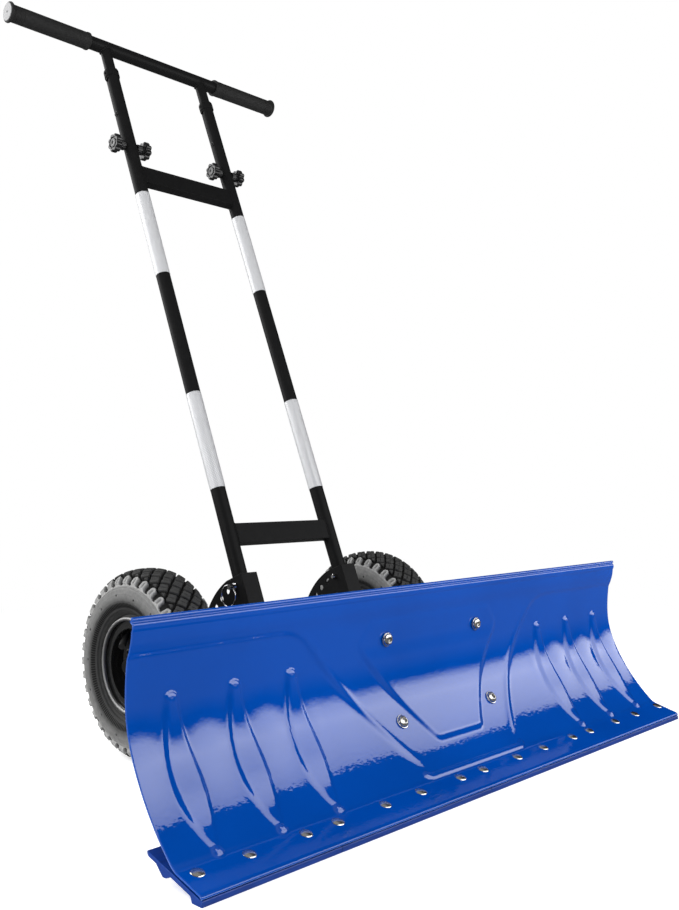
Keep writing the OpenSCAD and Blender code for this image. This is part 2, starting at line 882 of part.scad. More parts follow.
module lock_pin(side) {
    collar_t = 2;
    stub = 11;
    color(steel)
        index_hole(side, 0)
            difference() {
                union() {
                    translate([0, 0, -bracket_w / 2 - pin_tip + 1.5])
                        cylinder(r = pin_r, h = bracket_w + pin_tip + stub - 1.5);
                    translate([0, 0, -bracket_w / 2 - pin_tip])
                        cylinder(r1 = pin_r - 1.5, r2 = pin_r, h = 1.5);
                    translate([0, 0, bracket_w / 2 + gap]) cylinder(r = pin_r + 1.8, h = collar_t);
                }
                translate([0, 0, ring_x])
                    rotate([0, 0, side * ring_hang])
                        rotate([90, 0, 0]) cylinder(r = 1.75, h = 4 * pin_r, center = true);
            }
}
module lock_pin_left() lock_pin(LEFT);
module lock_pin_right() lock_pin(RIGHT);

module pin_ring(side) {
    color(steel)
        index_hole(side, 0)
            translate([0, 0, ring_x])
                rotate([0, 0, side * ring_hang])
                    translate([side * ring_r, 0, 0])
                        rotate_extrude($fn = 64) translate([ring_r, 0]) circle(r = ring_wire);
}
module pin_ring_left() pin_ring(LEFT);
module pin_ring_right() pin_ring(RIGHT);

// ---- What is drawn --------------------------------------------------------------------------
// Moves the axle's frame so that the origin is below the middle of the overall box
rear_y = -pivot_fwd + bar_reach * sin(lean) + grip_r + grip_flange;
module in_frame() {
    translate([0, -(front_y + rear_y) / 2, 0]) children();
}

in_frame() blade();
in_frame() wear_strips();
in_frame() strip_bolts();
in_frame() strip_nuts();
in_frame() blade_bolts();
in_frame() blade_nuts();
in_frame() blade_mount_left();
in_frame() blade_mount_right();
in_frame() arm_left();
in_frame() arm_right();
in_frame() gussets();
in_frame() cross_tube();
in_frame() hinge_bracket_left();
in_frame() hinge_bracket_right();
in_frame() axle();
in_frame() axle_spacers();
in_frame() axle_washers();
in_frame() cotter_pins();
in_frame() pivot_bolts();
in_frame() pivot_nuts();
in_frame() tyre_left();
in_frame() tyre_right();
in_frame() inner_tube_left();
in_frame() inner_tube_right();
in_frame() rim_outer_left();
in_frame() rim_outer_right();
in_frame() rim_inner_left();
in_frame() rim_inner_right();
in_frame() hub_left();
in_frame() hub_right();
in_frame() bearings_left();
in_frame() bearings_right();
in_frame() rim_bolts_left();
in_frame() rim_bolts_right();
in_frame() valve_left();
in_frame() valve_right();
in_frame() lower_tube_left();
in_frame() lower_tube_right();
in_frame() lower_crossbar();
in_frame() upper_crossbar();
in_frame() reflective_bands();
in_frame() pivot_washers();
in_frame() handlebar();
in_frame() riser_left();
in_frame() riser_right();
in_frame() grip_left();
in_frame() grip_right();
in_frame() grip_caps();
in_frame() snap_button_left();
in_frame() snap_button_right();
in_frame() knob_outer_left();
in_frame() knob_inner_left();
in_frame() knob_outer_right();
in_frame() knob_inner_right();
in_frame() clamp_stud_left();
in_frame() clamp_stud_right();
in_frame() lock_pin_left();
in_frame() lock_pin_right();
in_frame() pin_ring_left();
in_frame() pin_ring_right();
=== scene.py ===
"""Looks of a wheeled snow shovel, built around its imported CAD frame.

Lengths are millimetres in the axle's frame (X to the right seen from in front, -Y forward, Z up,
axle at Y = 0) unless a name ends in _m. world() turns them into the row's frame in metres.
"""
import json
import math

import bpy
import numpy as np
from mathutils import Matrix, Vector

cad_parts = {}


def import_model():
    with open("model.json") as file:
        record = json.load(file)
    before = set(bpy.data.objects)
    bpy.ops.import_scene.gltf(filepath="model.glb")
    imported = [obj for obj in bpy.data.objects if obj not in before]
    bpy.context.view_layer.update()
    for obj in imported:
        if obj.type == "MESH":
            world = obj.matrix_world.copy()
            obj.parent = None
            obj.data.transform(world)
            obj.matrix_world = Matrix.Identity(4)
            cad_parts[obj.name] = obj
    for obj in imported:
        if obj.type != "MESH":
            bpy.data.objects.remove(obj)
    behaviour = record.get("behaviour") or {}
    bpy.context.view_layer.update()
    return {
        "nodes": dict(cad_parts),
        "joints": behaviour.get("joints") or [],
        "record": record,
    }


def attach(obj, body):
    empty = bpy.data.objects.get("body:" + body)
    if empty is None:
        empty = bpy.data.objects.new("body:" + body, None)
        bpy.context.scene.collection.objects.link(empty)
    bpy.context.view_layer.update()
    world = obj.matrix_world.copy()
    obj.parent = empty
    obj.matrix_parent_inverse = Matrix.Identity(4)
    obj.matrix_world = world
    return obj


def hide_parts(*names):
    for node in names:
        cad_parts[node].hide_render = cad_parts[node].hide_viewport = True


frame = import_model()
NODES = frame["nodes"]
JOINTS = {j["name"]: j for j in frame["joints"]}
TAU = 2 * math.pi

AXLE_Y_M = JOINTS["wheel_left_spin"]["pos_m"][1]
AXLE_Z = JOINTS["wheel_left_spin"]["pos_m"][2] * 1000
WHEEL_X = JOINTS["wheel_right_spin"]["pos_m"][0] * 1000
PIVOT = np.array([0, (JOINTS["handle_tilt"]["pos_m"][1] - AXLE_Y_M) * 1000,
                  JOINTS["handle_tilt"]["pos_m"][2] * 1000])
TUBE_UP = np.array(JOINTS["handle_telescope"]["axis"], float)
TUBE_BACK = np.array([0, TUBE_UP[2], -TUBE_UP[1]])
RIGHT = np.array([1.0, 0, 0])
SIDES = (("left", -1), ("right", 1))
TUBE_X = 99.0
TUBE_R = 11.0
RISER_R = 9.1
BAR_T = 1049.0


# ---- Small geometry tools ---------------------------------------------------------------------
def world(points):
    """Millimetres in the axle's frame to metres in the row's frame."""
    out = np.asarray(points, float).reshape(-1, 3) / 1000
    out[:, 1] += AXLE_Y_M
    return out


def ease(low, high, x):
    """0 below low, 1 above high, smooth between."""
    t = np.clip((x - low) / (high - low), 0, 1)
    return t * t * (3 - 2 * t)


def on_tube(side, t):
    """The point at distance t above the pivot, on a handle tube's axis (side 0 is the middle)."""
    return PIVOT + side * TUBE_X * RIGHT + t * TUBE_UP


def finish_mesh(name, verts, faces, body, material, sharp, hides):
    """Makes the object, turns its faces outwards, and ties it to the frame."""
    faces = [tuple(int(i) for i in f) for f in faces]
    mesh = bpy.data.meshes.new(name)
    mesh.from_pydata([tuple(v) for v in world(verts)], [], faces)
    mesh.update()
    co = np.zeros(len(mesh.vertices) * 3)
    mesh.vertices.foreach_get("co", co)
    co = co.reshape(-1, 3)
    mesh.calc_loop_triangles()
    tri = np.zeros(len(mesh.loop_triangles) * 3, int)
    mesh.loop_triangles.foreach_get("vertices", tri)
    a, b, c = (co[tri.reshape(-1, 3)[:, k]] for k in range(3))
    volume = np.einsum("ij,ij->i", a, np.cross(b, c)).sum()
    if volume < 0:
        mesh.flip_normals()
    mesh.shade_smooth()
    mesh.set_sharp_from_angle(angle=math.radians(sharp))
    mesh.materials.append(material)
    obj = bpy.data.objects.new(name, mesh)
    bpy.context.scene.collection.objects.link(obj)
    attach(obj, body)
    if hides:
        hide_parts(*hides)
    return obj


class Shell:
    """Collects closed skins, each made of rings of points, into one mesh."""

    def __init__(self):
        self.verts, self.faces = [], []

    def add(self, rings, loop=False, fans=True):
        """rings: (rings, columns, 3). Columns wrap round; loop joins the last ring to the first,
        otherwise fans close both ends."""
        rings = np.asarray(rings, float)
        count, columns = rings.shape[:2]
        base = sum(len(v) for v in self.verts)
        self.verts.append(rings.reshape(-1, 3))
        spans = count if loop else count - 1
        i = np.arange(spans)[:, None]
        j = np.arange(columns)[None, :]
        i2, j2 = (i + 1) % count, (j + 1) % columns
        quads = np.stack([i * columns + j, i * columns + j2, i2 * columns + j2,
                          i2 * columns + j], axis=-1).reshape(-1, 4) + base
        self.faces.extend(quads.tolist())
        if fans and not loop:
            for ring in (0, count - 1):
                self.verts.append(rings[ring].mean(axis=0)[None, :])
                hub = base + count * columns + (1 if ring else 0)
                rim = base + ring * columns
                for k in range(columns):
                    edge = (rim + k, rim + (k + 1) % columns)
                    self.faces.append((hub, *(edge if ring else edge[::-1])))
        return self

    def build(self, name, body, slot, material, sharp=38, hides=()):
        return finish_mesh(name, np.concatenate(self.verts), self.faces, body, material,
                           sharp, hides)


def frame_at(origin, axis, aside):
    """Columns: two directions square to axis, and axis; and the origin."""
    axis = np.asarray(axis, float) / np.linalg.norm(axis)
    first = np.asarray(aside, float) - np.dot(aside, axis) * axis
    first /= np.linalg.norm(first)
    return np.asarray(origin, float), first, np.cross(axis, first), axis


def lathe(place, profile, columns=64, shape=None):
    """Rings from (radius, height) pairs about a frame; shape(angle, radius, height) may change
    the radius."""
    origin, first, second, axis = place
    angle = np.arange(columns) / columns * TAU
    rings = []
    for radius, height in profile:
        r = np.full(columns, float(radius)) if shape is None else shape(angle, radius, height)
        rings.append(origin + np.outer(r * np.cos(angle), first)
                     + np.outer(r * np.sin(angle), second) + height * axis)
    return np.array(rings)


def rounded(corners, radius, steps=4):
    """Rounds the corners of an open (radius, height) outline; its ends stay."""
    corners = [np.array(c, float) for c in corners]
    out = [corners[0]]
    for before, here, after in zip(corners, corners[1:], corners[2:]):
        a, b = before - here, after - here
        reach = min(radius, np.linalg.norm(a) * 0.45, np.linalg.norm(b) * 0.45)
        start = here + a / np.linalg.norm(a) * reach
        end = here + b / np.linalg.norm(b) * reach
        for k in range(steps + 1):
            t = k / steps
            out.append((1 - t) ** 2 * start + 2 * t * (1 - t) * here + t * t * end)
    out.append(corners[-1])
    return out


def bead_path(points, radius, ripple=0.18, pitch=3.2, columns=10):
    """A weld bead: a rippled tube round a closed line of points."""
    points = np.asarray(points, float)
    step = np.linalg.norm(np.roll(points, -1, axis=0) - points, axis=1)
    length = step.sum()
    count = max(24, int(length / 0.8))
    at = np.concatenate([[0], np.cumsum(step)])
    closed = np.vstack([points, points[:1]])
    s = np.arange(count) / count * length
    line = np.stack([np.interp(s, at, closed[:, k]) for k in range(3)], axis=1)
    for _ in range(3):
        line = (np.roll(line, 1, axis=0) + 2 * line + np.roll(line, -1, axis=0)) / 4
    ahead = np.roll(line, -1, axis=0) - np.roll(line, 1, axis=0)
    ahead /= np.linalg.norm(ahead, axis=1)[:, None]
    out = line - line.mean(axis=0)
    out -= np.einsum("ij,ij->i", out, ahead)[:, None] * ahead
    out /= np.maximum(np.linalg.norm(out, axis=1), 1e-6)[:, None]
    up = np.cross(ahead, out)
    waves = max(1, round(length / pitch))
    swell = radius * (1 + ripple * np.cos(s / length * waves * TAU))
    angle = np.arange(columns) / columns * TAU
    return (line[:, None, :] + swell[:, None, None] * (np.cos(angle)[None, :, None] * out[:, None]
            + np.sin(angle)[None, :, None] * up[:, None]))


# ---- Materials --------------------------------------------------------------------------------
class Look:
    """A principled material with a few short ways to feed its sockets."""

    def __init__(self, name, **values):
        self.material = bpy.data.materials.new(name)
        self.material.use_nodes = True
        self.tree = self.material.node_tree
        self.shader = self.tree.nodes["Principled BSDF"]
        for socket, value in values.items():
            self.feed(self.shader, socket.replace("_", " "), value)

    def feed(self, node, socket, value):
        if hasattr(value, "is_output"):
            self.tree.links.new(value, node.inputs[socket])
        elif node.inputs[socket].type == "RGBA":
            node.inputs[socket].default_value = (*value, 1)
        else:
            node.inputs[socket].default_value = value

    def node(self, kind, output=0, settings=None, **sockets):
        made = self.tree.nodes.new("ShaderNode" + kind)
        for key, value in (settings or {}).items():
            setattr(made, key, value)
        for socket, value in sockets.items():
            name = socket.replace("_", " ")
            self.feed(made, int(name[1:]) if name[0] == "i" and name[1:].isdigit() else name, value)
        return made.outputs[output]

    def place(self):
        return self.node("TexCoord", "Object")

    def noise(self, scale, detail=3.0, roughness=0.5, vector=None):
        return self.node("TexNoise", "Fac", Vector=vector or self.place(), Scale=scale,
                         Detail=detail, Roughness=roughness)

    def math(self, operation, a, b=0.0):
        return self.node("Math", settings={"operation": operation}, i0=a, i1=b)

    def scaled(self, value, low, high, from_low=0.0, from_high=1.0):
        return self.node("MapRange", "Result", Value=value, From_Min=from_low, From_Max=from_high,
                         To_Min=low, To_Max=high)

    def blend(self, factor, first, second):
        """A mix of two colours."""
        mix = self.tree.nodes.new("ShaderNodeMix")
        mix.data_type = "RGBA"
        for index, value in ((0, factor), (6, first), (7, second)):
            self.feed(mix, index, value)
        return mix.outputs[2]

    def bump(self, height, distance_m, strength=1.0, normal=None):
        extra = {"Normal": normal} if normal else {}
        return self.node("Bump", Height=height, Distance=distance_m, Strength=strength, **extra)

    def lattice(self, along, around, pitch_m):
        """Lines that wind both ways round a tube: 0 on a line, up to 0.5 between them."""
        lines = (self.math("DIVIDE", self.math(way, along, around), pitch_m)
                 for way in ("ADD", "SUBTRACT"))
        return self.math("MINIMUM", *(self.math("PINGPONG", line, 0.5) for line in lines))

    def set(self, **sockets):
        for socket, value in sockets.items():
            self.feed(self.shader, socket.replace("_", " "), value)
        return self.material

    def edges(self, radius_m=0.0006):
        """1 along outer edges, 0 elsewhere, from how far a bevelled normal leans."""
        worn = self.node("Bevel", settings={"samples": 4}, Radius=radius_m)
        plain = self.node("NewGeometry", "Normal")
        lean = self.node("VectorMath", "Value", settings={"operation": "DOT_PRODUCT"},
                         i0=worn, i1=plain)
        return self.scaled(lean, 1.0, 0.0, 0.9, 1.0)


def blade_paint():
    look = Look("blade_paint", Specular_IOR_Level=0.0, Coat_Roughness=0.03, Coat_IOR=1.68)
    # The gloss is worn where the surface lies almost flat, which is the lip
    steep = look.node("SeparateXYZ", "Z", Vector=look.node("NewGeometry", "Normal"))
    look.set(Coat_Weight=look.scaled(steep, 1.0, 0.35, 0.86, 0.94))
    tone = look.noise(6, 2)
    grain = look.noise(1500, 2)
    colour = look.blend(look.scaled(tone, 0.0, 1.0, 0.35, 0.65), (0.0, 0.054, 0.33),
                        (0.0, 0.062, 0.375))
    # Painted highlight: every edge of the blade is made pale blue, as if it caught the light
    colour = look.blend(look.edges(), colour, (0.30, 0.46, 0.92))
    peel = look.bump(look.noise(190, 2.0, 0.5), 0.00009, 1.0)
    return look.set(Base_Color=colour, Roughness=look.scaled(grain, 0.24, 0.34),
                    Coat_Normal=peel, Normal=peel)


def strip_plastic():
    look = Look("strip_plastic", Coat_Weight=0.15, Coat_Roughness=0.2)
    flow = look.node("Mapping", Vector=look.place(), Scale=(0.12, 1.0, 1.0))
    streak = look.noise(260, 3, 0.6, flow)
    colour = look.blend(look.scaled(streak, 0.0, 1.0, 0.3, 0.7), (0.0, 0.026, 0.19),
                        (0.001, 0.04, 0.27))
    patches = look.scaled(look.noise(120), 0, 0.6, 0.45, 0.6)
    scuff = look.math("MULTIPLY", look.edges(0.0008), patches)
    return look.set(Base_Color=look.blend(scuff, colour, (0.05, 0.16, 0.50)),
                    Roughness=look.scaled(look.noise(500), 0.28, 0.42),
                    Normal=look.bump(look.noise(1100, 2), 0.00004, 0.5))


def powder_coat(name, dark, light, rough_low, rough_high, shine=0.1, grain=1300, depth_m=0.00004):
    look = Look(name, Specular_IOR_Level=shine)
    colour = look.blend(look.noise(90, 3), dark, light)
    patches = look.scaled(look.noise(300), 0, 0.5, 0.4, 0.7)
    worn = look.math("MULTIPLY", look.edges(0.0005), patches)
    return look.set(Base_Color=look.blend(worn, colour, (0.05, 0.05, 0.052)),
                    Roughness=look.scaled(look.noise(400), rough_low, rough_high),
                    Normal=look.bump(look.noise(grain, 1.5, 0.4), depth_m, 0.8))


def plated(name, dark, light, rough_low, rough_high, scratch=0.00002):
    look = Look(name, Metallic=1.0)
    cloud = look.noise(700, 4, 0.6)
    stretched = look.node("Mapping", Vector=look.place(), Scale=(1.0, 0.15, 1.0))
    lines = look.noise(2600, 2, 0.6, stretched)
    return look.set(Base_Color=look.blend(cloud, dark, light),
                    Roughness=look.scaled(look.noise(1200, 3), rough_low, rough_high),
                    Normal=look.bump(lines, scratch, 0.35))


def tyre_rubber():
    look = Look("tyre_rubber", Specular_IOR_Level=0.2)
    # The tone attribute carries light and shade painted into the rubber: dark grooves and slots,
    # light lugs and a light sidewall; the dust noise only varies it
    tone = look.node("Attribute", "Fac", settings={"attribute_name": "tone"})
    dust = look.noise(160, 5, 0.65)
    pale = look.scaled(dust, 0.75, 1.15, 0.3, 0.7)
    colour = look.blend(look.math("MULTIPLY", tone, pale), (0.002, 0.002, 0.002),
                        (0.36, 0.36, 0.355))
    fine = look.bump(look.noise(1800, 3, 0.6), 0.00008, 0.6)
    return look.set(Base_Color=colour, Roughness=look.scaled(dust, 0.5, 0.72), Normal=fine)


def soft_rubber(name, dark, light, rough_low, rough_high, scale=1400, depth_m=0.00009):
    look = Look(name, Specular_IOR_Level=0.3)
    return look.set(Base_Color=look.blend(look.noise(120, 4, 0.6), dark, light),
                    Roughness=look.scaled(look.noise(300, 3), rough_low, rough_high),
                    Normal=look.bump(look.noise(scale, 3, 0.6), depth_m, 0.7))


def grip_rubber():
    """Fine raised diamonds all over, as moulded grips have."""
    look = Look("grip_rubber", Specular_IOR_Level=0.15)
    x, y, z = (look.node("SeparateXYZ", k, Vector=look.place()) for k in "XYZ")
    centre = world([on_tube(0, BAR_T)])[0]
    around = look.math("MULTIPLY", look.math("ARCTAN2", look.math("SUBTRACT", z, centre[2]),
                                             look.math("SUBTRACT", y, centre[1])), 0.0137)
    knurl = look.scaled(look.lattice(x, around, 0.0022), 0.0, 1.0, 0.06, 0.2)
    coarse = look.bump(knurl, 0.00025, 0.5)
    return look.set(Base_Color=look.blend(look.noise(200, 4), (0.008, 0.008, 0.008),
                                          (0.02, 0.02, 0.02)),
                    Roughness=look.scaled(look.noise(350), 0.5, 0.68),
                    Normal=look.bump(look.noise(1800, 3), 0.00005, 0.5, coarse))


def moulded(name, dark, light, rough_low, rough_high):
    look = Look(name, Coat_Weight=0.1, Coat_Roughness=0.3)
    colour = look.blend(look.noise(220, 3), dark, light)
    colour = look.blend(look.math("MULTIPLY", look.edges(0.0004), 0.3), colour, (0.3, 0.3, 0.3))
    return look.set(Base_Color=colour,
                    Roughness=look.scaled(look.noise(700), rough_low, rough_high),
                    Normal=look.bump(look.noise(2200, 2), 0.00004, 0.6))


def reflective_tape():
    """Silver-white sheeting: small cells bounded by fine raised lines that wind round the tube."""
    look = Look("reflective_tape", Metallic=0.15, Coat_Weight=0.6, Coat_Roughness=0.12)
    pivot = world([on_tube(0, 0)])[0]
    x, y, z = (look.node("SeparateXYZ", k, Vector=look.place()) for k in "XYZ")
    y, z = look.math("SUBTRACT", y, pivot[1]), look.math("SUBTRACT", z, pivot[2])
    along = look.math("ADD", look.math("MULTIPLY", y, TUBE_UP[1]),
                      look.math("MULTIPLY", z, TUBE_UP[2]))
    across = look.math("SUBTRACT", look.math("MULTIPLY", y, TUBE_UP[2]),
                       look.math("MULTIPLY", z, TUBE_UP[1]))
    aside = look.math("SUBTRACT", look.math("ABSOLUTE", x), TUBE_X / 1000)
    around = look.math("MULTIPLY", look.math("ARCTAN2", across, aside), TUBE_R / 1000)
    stretched = look.math("MULTIPLY", along, 0.75)
    cells = look.scaled(look.lattice(stretched, around, 0.0034), 0.0, 1.0, 0.03, 0.11)
    mottled = look.scaled(look.noise(260, 3), 0.0, 0.4, 0.35, 0.7)
    colour = look.blend(cells, (0.28, 0.285, 0.295), (0.60, 0.605, 0.62))
    colour = look.blend(mottled, colour, (0.46, 0.465, 0.48))
    return look.set(Base_Color=colour, Roughness=look.scaled(cells, 0.55, 0.3),
                    Normal=look.bump(cells, 0.0002, 0.8))


LOOKS = {
    "blade_paint": blade_paint(),
    "strip_plastic": strip_plastic(),
    "frame_paint": powder_coat("frame_paint", (0.0062, 0.0062, 0.0064), (0.0095, 0.0095, 0.0097),
                               0.3, 0.42, 0.05),
    "dark_steel": plated("dark_steel", (0.030, 0.030, 0.032), (0.055, 0.054, 0.053), 0.3, 0.45),
    "bright_steel": plated("bright_steel", (0.62, 0.60, 0.56), (0.82, 0.80, 0.76), 0.16, 0.32),
    "pin_steel": plated("pin_steel", (0.72, 0.72, 0.73), (0.88, 0.88, 0.89), 0.08, 0.2, 0.00001),
    "tyre_rubber": tyre_rubber(),
    "tube_rubber": soft_rubber("tube_rubber", (0.012, 0.012, 0.012), (0.022, 0.022, 0.022),
                               0.42, 0.6),
    "rim_paint": powder_coat("rim_paint", (0.005, 0.005, 0.0055), (0.008, 0.008, 0.008),
                             0.14, 0.22, 1.0, 700, 0.00002),
    "grip_rubber": grip_rubber(),
    "cap_plastic": moulded("cap_plastic", (0.17, 0.17, 0.175), (0.22, 0.22, 0.225), 0.34, 0.48),
    "knob_plastic": moulded("knob_plastic", (0.007, 0.007, 0.0075), (0.012, 0.012, 0.0125),
                            0.18, 0.28),
    "reflective_tape": reflective_tape(),
    "nylon": moulded("nylon", (0.66, 0.65, 0.60), (0.76, 0.75, 0.71), 0.4, 0.55),
}
for part in frame["record"]["subparts"]:
    mesh = NODES[part["node"]].data
    mesh.materials.clear()
    mesh.materials.append(LOOKS[part["material_slot"]])


# ---- Softer edges on the CAD pieces -----------------------------------------------------------
def node_group(name, build):
    group = bpy.data.node_groups.new(name, "GeometryNodeTree")
    for direction in ("INPUT", "OUTPUT"):
        group.interface.new_socket("Geometry", in_out=direction, socket_type="NodeSocketGeometry")
    start = group.nodes.new("NodeGroupInput").outputs[0]
    end = group.nodes.new("NodeGroupOutput").inputs[0]
    group.links.new(build(group, start), end)
    return group


def joined_faces(group, geometry):
    """Drops the imported corner normals and joins the faces that share an edge."""
    drop = group.nodes.new("GeometryNodeRemoveAttribute")
    drop.inputs["Name"].default_value = "custom_normal"
    weld = group.nodes.new("GeometryNodeMergeByDistance")
    weld.inputs["Distance"].default_value = 2e-6
    group.links.new(geometry, drop.inputs["Geometry"])
    group.links.new(drop.outputs["Geometry"], weld.inputs["Geometry"])
    return weld.outputs["Geometry"]


def smooth_by_angle(group, geometry):
    """Shades smooth across every edge that turns less than the limit."""
    limit = math.radians(38)
    whole = group.nodes.new("GeometryNodeSetShadeSmooth")
    group.links.new(geometry, whole.inputs["Geometry"])
    angle = group.nodes.new("GeometryNodeInputMeshEdgeAngle")
    gentle = group.nodes.new("FunctionNodeCompare")
    gentle.operation = "LESS_THAN"
    gentle.inputs["B"].default_value = limit
    group.links.new(angle.outputs["Unsigned Angle"], gentle.inputs["A"])
    edge = group.nodes.new("GeometryNodeSetShadeSmooth")
    edge.domain = "EDGE"
    group.links.new(whole.outputs["Geometry"], edge.inputs["Geometry"])
    group.links.new(gentle.outputs["Result"], edge.inputs["Shade Smooth"])
    return edge.outputs["Geometry"]


JOINED = node_group("joined_faces", joined_faces)
SMOOTH = node_group("smooth_by_angle", smooth_by_angle)


def soften(node, width_m, segments=2):
    obj = NODES[node]
    obj.modifiers.new("joined", "NODES").node_group = JOINED
    if width_m:
        bevel = obj.modifiers.new("edges", "BEVEL")
        bevel.width = width_m
        bevel.segments = segments
        bevel.limit_method = "ANGLE"
        bevel.angle_limit = math.radians(38)
        bevel.miter_outer = "MITER_ARC"
    obj.modifiers.new("smooth", "NODES").node_group = SMOOTH
    if width_m:
        weighted = obj.modifiers.new("weighted", "WEIGHTED_NORMAL")
        weighted.keep_sharp = True


EDGE_WIDTHS_M = {
    "wear_strips": 0.0012, "lower_crossbar": 0.0022, "upper_crossbar": 0.0022, "gussets": 0.0006,
    "arm": 0.0016, "hinge_bracket": 0.0006, "blade_mount": 0.0008, "rim_outer": 0.0005,
    "rim_inner": 0.0005, "hub": 0.0008, "axle": 0.0006, "axle_washers": 0.0004,
    "pivot_bolts": 0.0004, "rim_bolts": 0.0004, "blade_nuts": 0.0004, "strip_nuts": 0.0004,
    "pivot_nuts": 0.0004, "cross_tube": 0.0005, "axle_spacers": 0.0004, "grip_caps": 0.0004,
    "valve": 0.0005,
}
for name in NODES:
    family = name.removesuffix("_left").removesuffix("_right")
    soften(name, EDGE_WIDTHS_M.get(family, 0))


# ---- Blade ------------------------------------------------------------------------------------
BLADE_HALF = 457.0
SHEET = 2.0
FRONT_Y, FRONT_Z = -420.913, 7.423
RIM_ANGLE, STEP_ANGLE, TOP_ANGLE, MID_ANGLE, LOW_ANGLE, LIP_ANGLE = -6, -19, -10, 30, 48, 74
RIM_LEN, STEP_LEN, LIP_LEN = 22.12, 13.96, 43.2
TOP_LEN, MID_LEN, LOW_LEN = 43.63, 70.69, 91.11
FACE_LEN = RIM_LEN + STEP_LEN + TOP_LEN + MID_LEN + LOW_LEN + LIP_LEN
BEND = 11.0
# The level crease, the ends of the slanted ones, and half the width over which they rise
CREASE_Z = 200.5
CREASE_FOOT, CREASE_SHOULDER, CREASE_WALL = (97.0, 38.0), (233.0, CREASE_Z), 4.5
# Half the shield's outline, drawn in by the radius of its corners
SHIELD_HALF, SHIELD_CORNER = [(112, 186), (124, 171), (118.5, 163), (38, 64.5)], 12.0
# A rib as (height, half width) pairs; its flats as (distance up the face, rise, slope) triples
RIB_X = (245.5, 325.5, 405.5)
LEAF = ((24, 0), (30, 5), (36, 8), (50, 12.5), (64, 16), (78, 17), (96, 15.4), (127, 10),
        (141, 7.6), (151, 6.2), (160, 5))
RIB_RISE, RIB_WALL = 3.3, 3.8
RIB_BEADS = ((44.9, 2.6, -0.3), (200.5, 3.2, 0.22))
# The bead above the lip: sideways, and up the face
LIP_BEAD = ((-97, 50), (-91, 46), (91, 46), (97, 50))


def blade_path():
    """The front face from its top edge down to its front edge: y, z and heading in radians, where
    heading turns from straight down towards the front. Corners are rolled over BEND."""
    step = 0.25
    starts = np.cumsum([0, RIM_LEN, STEP_LEN, TOP_LEN, MID_LEN, LOW_LEN, LIP_LEN])
    s = np.arange(0, starts[-1] + step / 2, step)
    turns = [(RIM_ANGLE, RIM_ANGLE), (STEP_ANGLE, STEP_ANGLE), (TOP_ANGLE, 0), (0, MID_ANGLE),
             (MID_ANGLE, LOW_ANGLE), (LIP_ANGLE, LIP_ANGLE)]
    heading = np.zeros_like(s)
    for k, (a, b) in enumerate(turns):
        here = (s >= starts[k]) & (s <= starts[k + 1])
        heading[here] = a + (b - a) * (s[here] - starts[k]) / (starts[k + 1] - starts[k])
    width = int(BEND / step) | 1
    padded = np.pad(heading, width // 2, mode="edge")
    heading = np.radians(np.convolve(padded, np.ones(width) / width, mode="valid"))
    y = np.concatenate([[0], np.cumsum(-np.sin(heading[:-1]) * step)])
    z = np.concatenate([[0], np.cumsum(-np.cos(heading[:-1]) * step)])
    return s, y - y[-1] + FRONT_Y, z - z[-1] + FRONT_Z, heading


def corner_max(a, b, radius):
    """The larger of two distances, with the corner between them rounded."""
    mix = np.maximum(radius - np.abs(a - b), 0) / radius
    return np.maximum(a, b) + mix * mix * radius / 4


def inside_outline(x, z, corners, radius):
    """Signed distance into an outline whose corners are rounded: positive inside."""
    corners = np.asarray(corners, float)
    best = np.full(x.shape, 1e9)
    odd = np.zeros(x.shape, bool)
    for a, b in zip(corners, np.roll(corners, -1, axis=0)):
        edge, offset = b - a, np.stack([x - a[0], z - a[1]], axis=-1)
        t = np.clip(offset @ edge / (edge @ edge), 0, 1)
        best = np.minimum(best, np.linalg.norm(offset - t[..., None] * edge, axis=-1))
        crosses = (a[1] > z) != (b[1] > z)
        with np.errstate(divide="ignore", invalid="ignore"):
            odd ^= crosses & (x < (b[0] - a[0]) * (z - a[1]) / (b[1] - a[1]) + a[0])
    return np.where(odd, best, -best) + radius


def crease_rise(side, z):
    """Above the crease, and between the two slanted creases, the sheet stands a little forward."""
    foot, shoulder = np.array(CREASE_FOOT), np.array(CREASE_SHOULDER)
    run = (shoulder - foot) / np.linalg.norm(shoulder - foot)
    between = (z - foot[1]) * run[0] - (side - foot[0]) * run[1]
    field = corner_max(z - CREASE_Z, between, 26)
    ridge = np.exp(-(between / 4.5) ** 2) * ease(26, 56, z) * ease(CREASE_Z - 2, CREASE_Z - 26, z)
    return 1.7 * ease(-CREASE_WALL, CREASE_WALL, field) * ease(15, 95, z) + 1.2 * ridge


def shield_rise(x, z):
    """The shield in the middle, lower towards its top."""
    mirrored = [(-a, b) for a, b in SHIELD_HALF[::-1]]
    inside = inside_outline(x, z, SHIELD_HALF + mirrored, SHIELD_CORNER)
    return (3.2 - 2.3 * ease(150, 178, z)) * ease(-4.4, 4.0, inside)


def add_ribs(raised, side, z, up_face):
    """Leaf-shaped ribs with a round, tilted flat at each end; the sheet swells beside them."""
    heights, widths = zip(*LEAF)
    fine = np.linspace(heights[0], heights[-1], 240)
    leaf = np.interp(fine, heights, widths)
    leaf = np.convolve(np.pad(leaf, 6, mode="edge"), np.ones(13) / 13, mode="valid")
    half_width = np.interp(z, fine, leaf, left=-8, right=-8)
    fade = (0.4 + 0.6 * ease(35, 72, z)) * ease(160, 156, z)
    for centre in RIB_X:
        off = np.abs(side - centre)
        wall = ease(-RIB_WALL, RIB_WALL, half_width - off)
        crown = 0.5 * np.clip(1 - (off / 16) ** 2, 0, 1)
        raised += wall * (RIB_RISE + crown) * fade
        for bead_at, height, slope in RIB_BEADS:
            bead = ease(6.0, 4.0, np.hypot(off, up_face - bead_at))
            raised += bead * (height + slope * (bead_at - up_face) - raised)
    swell = np.exp(-((z - 100) / 28) ** 2) * ease(205, 235, side)
    return raised - 1.4 * np.cos(TAU * (side - RIB_X[0]) / (RIB_X[1] - RIB_X[0])) * swell


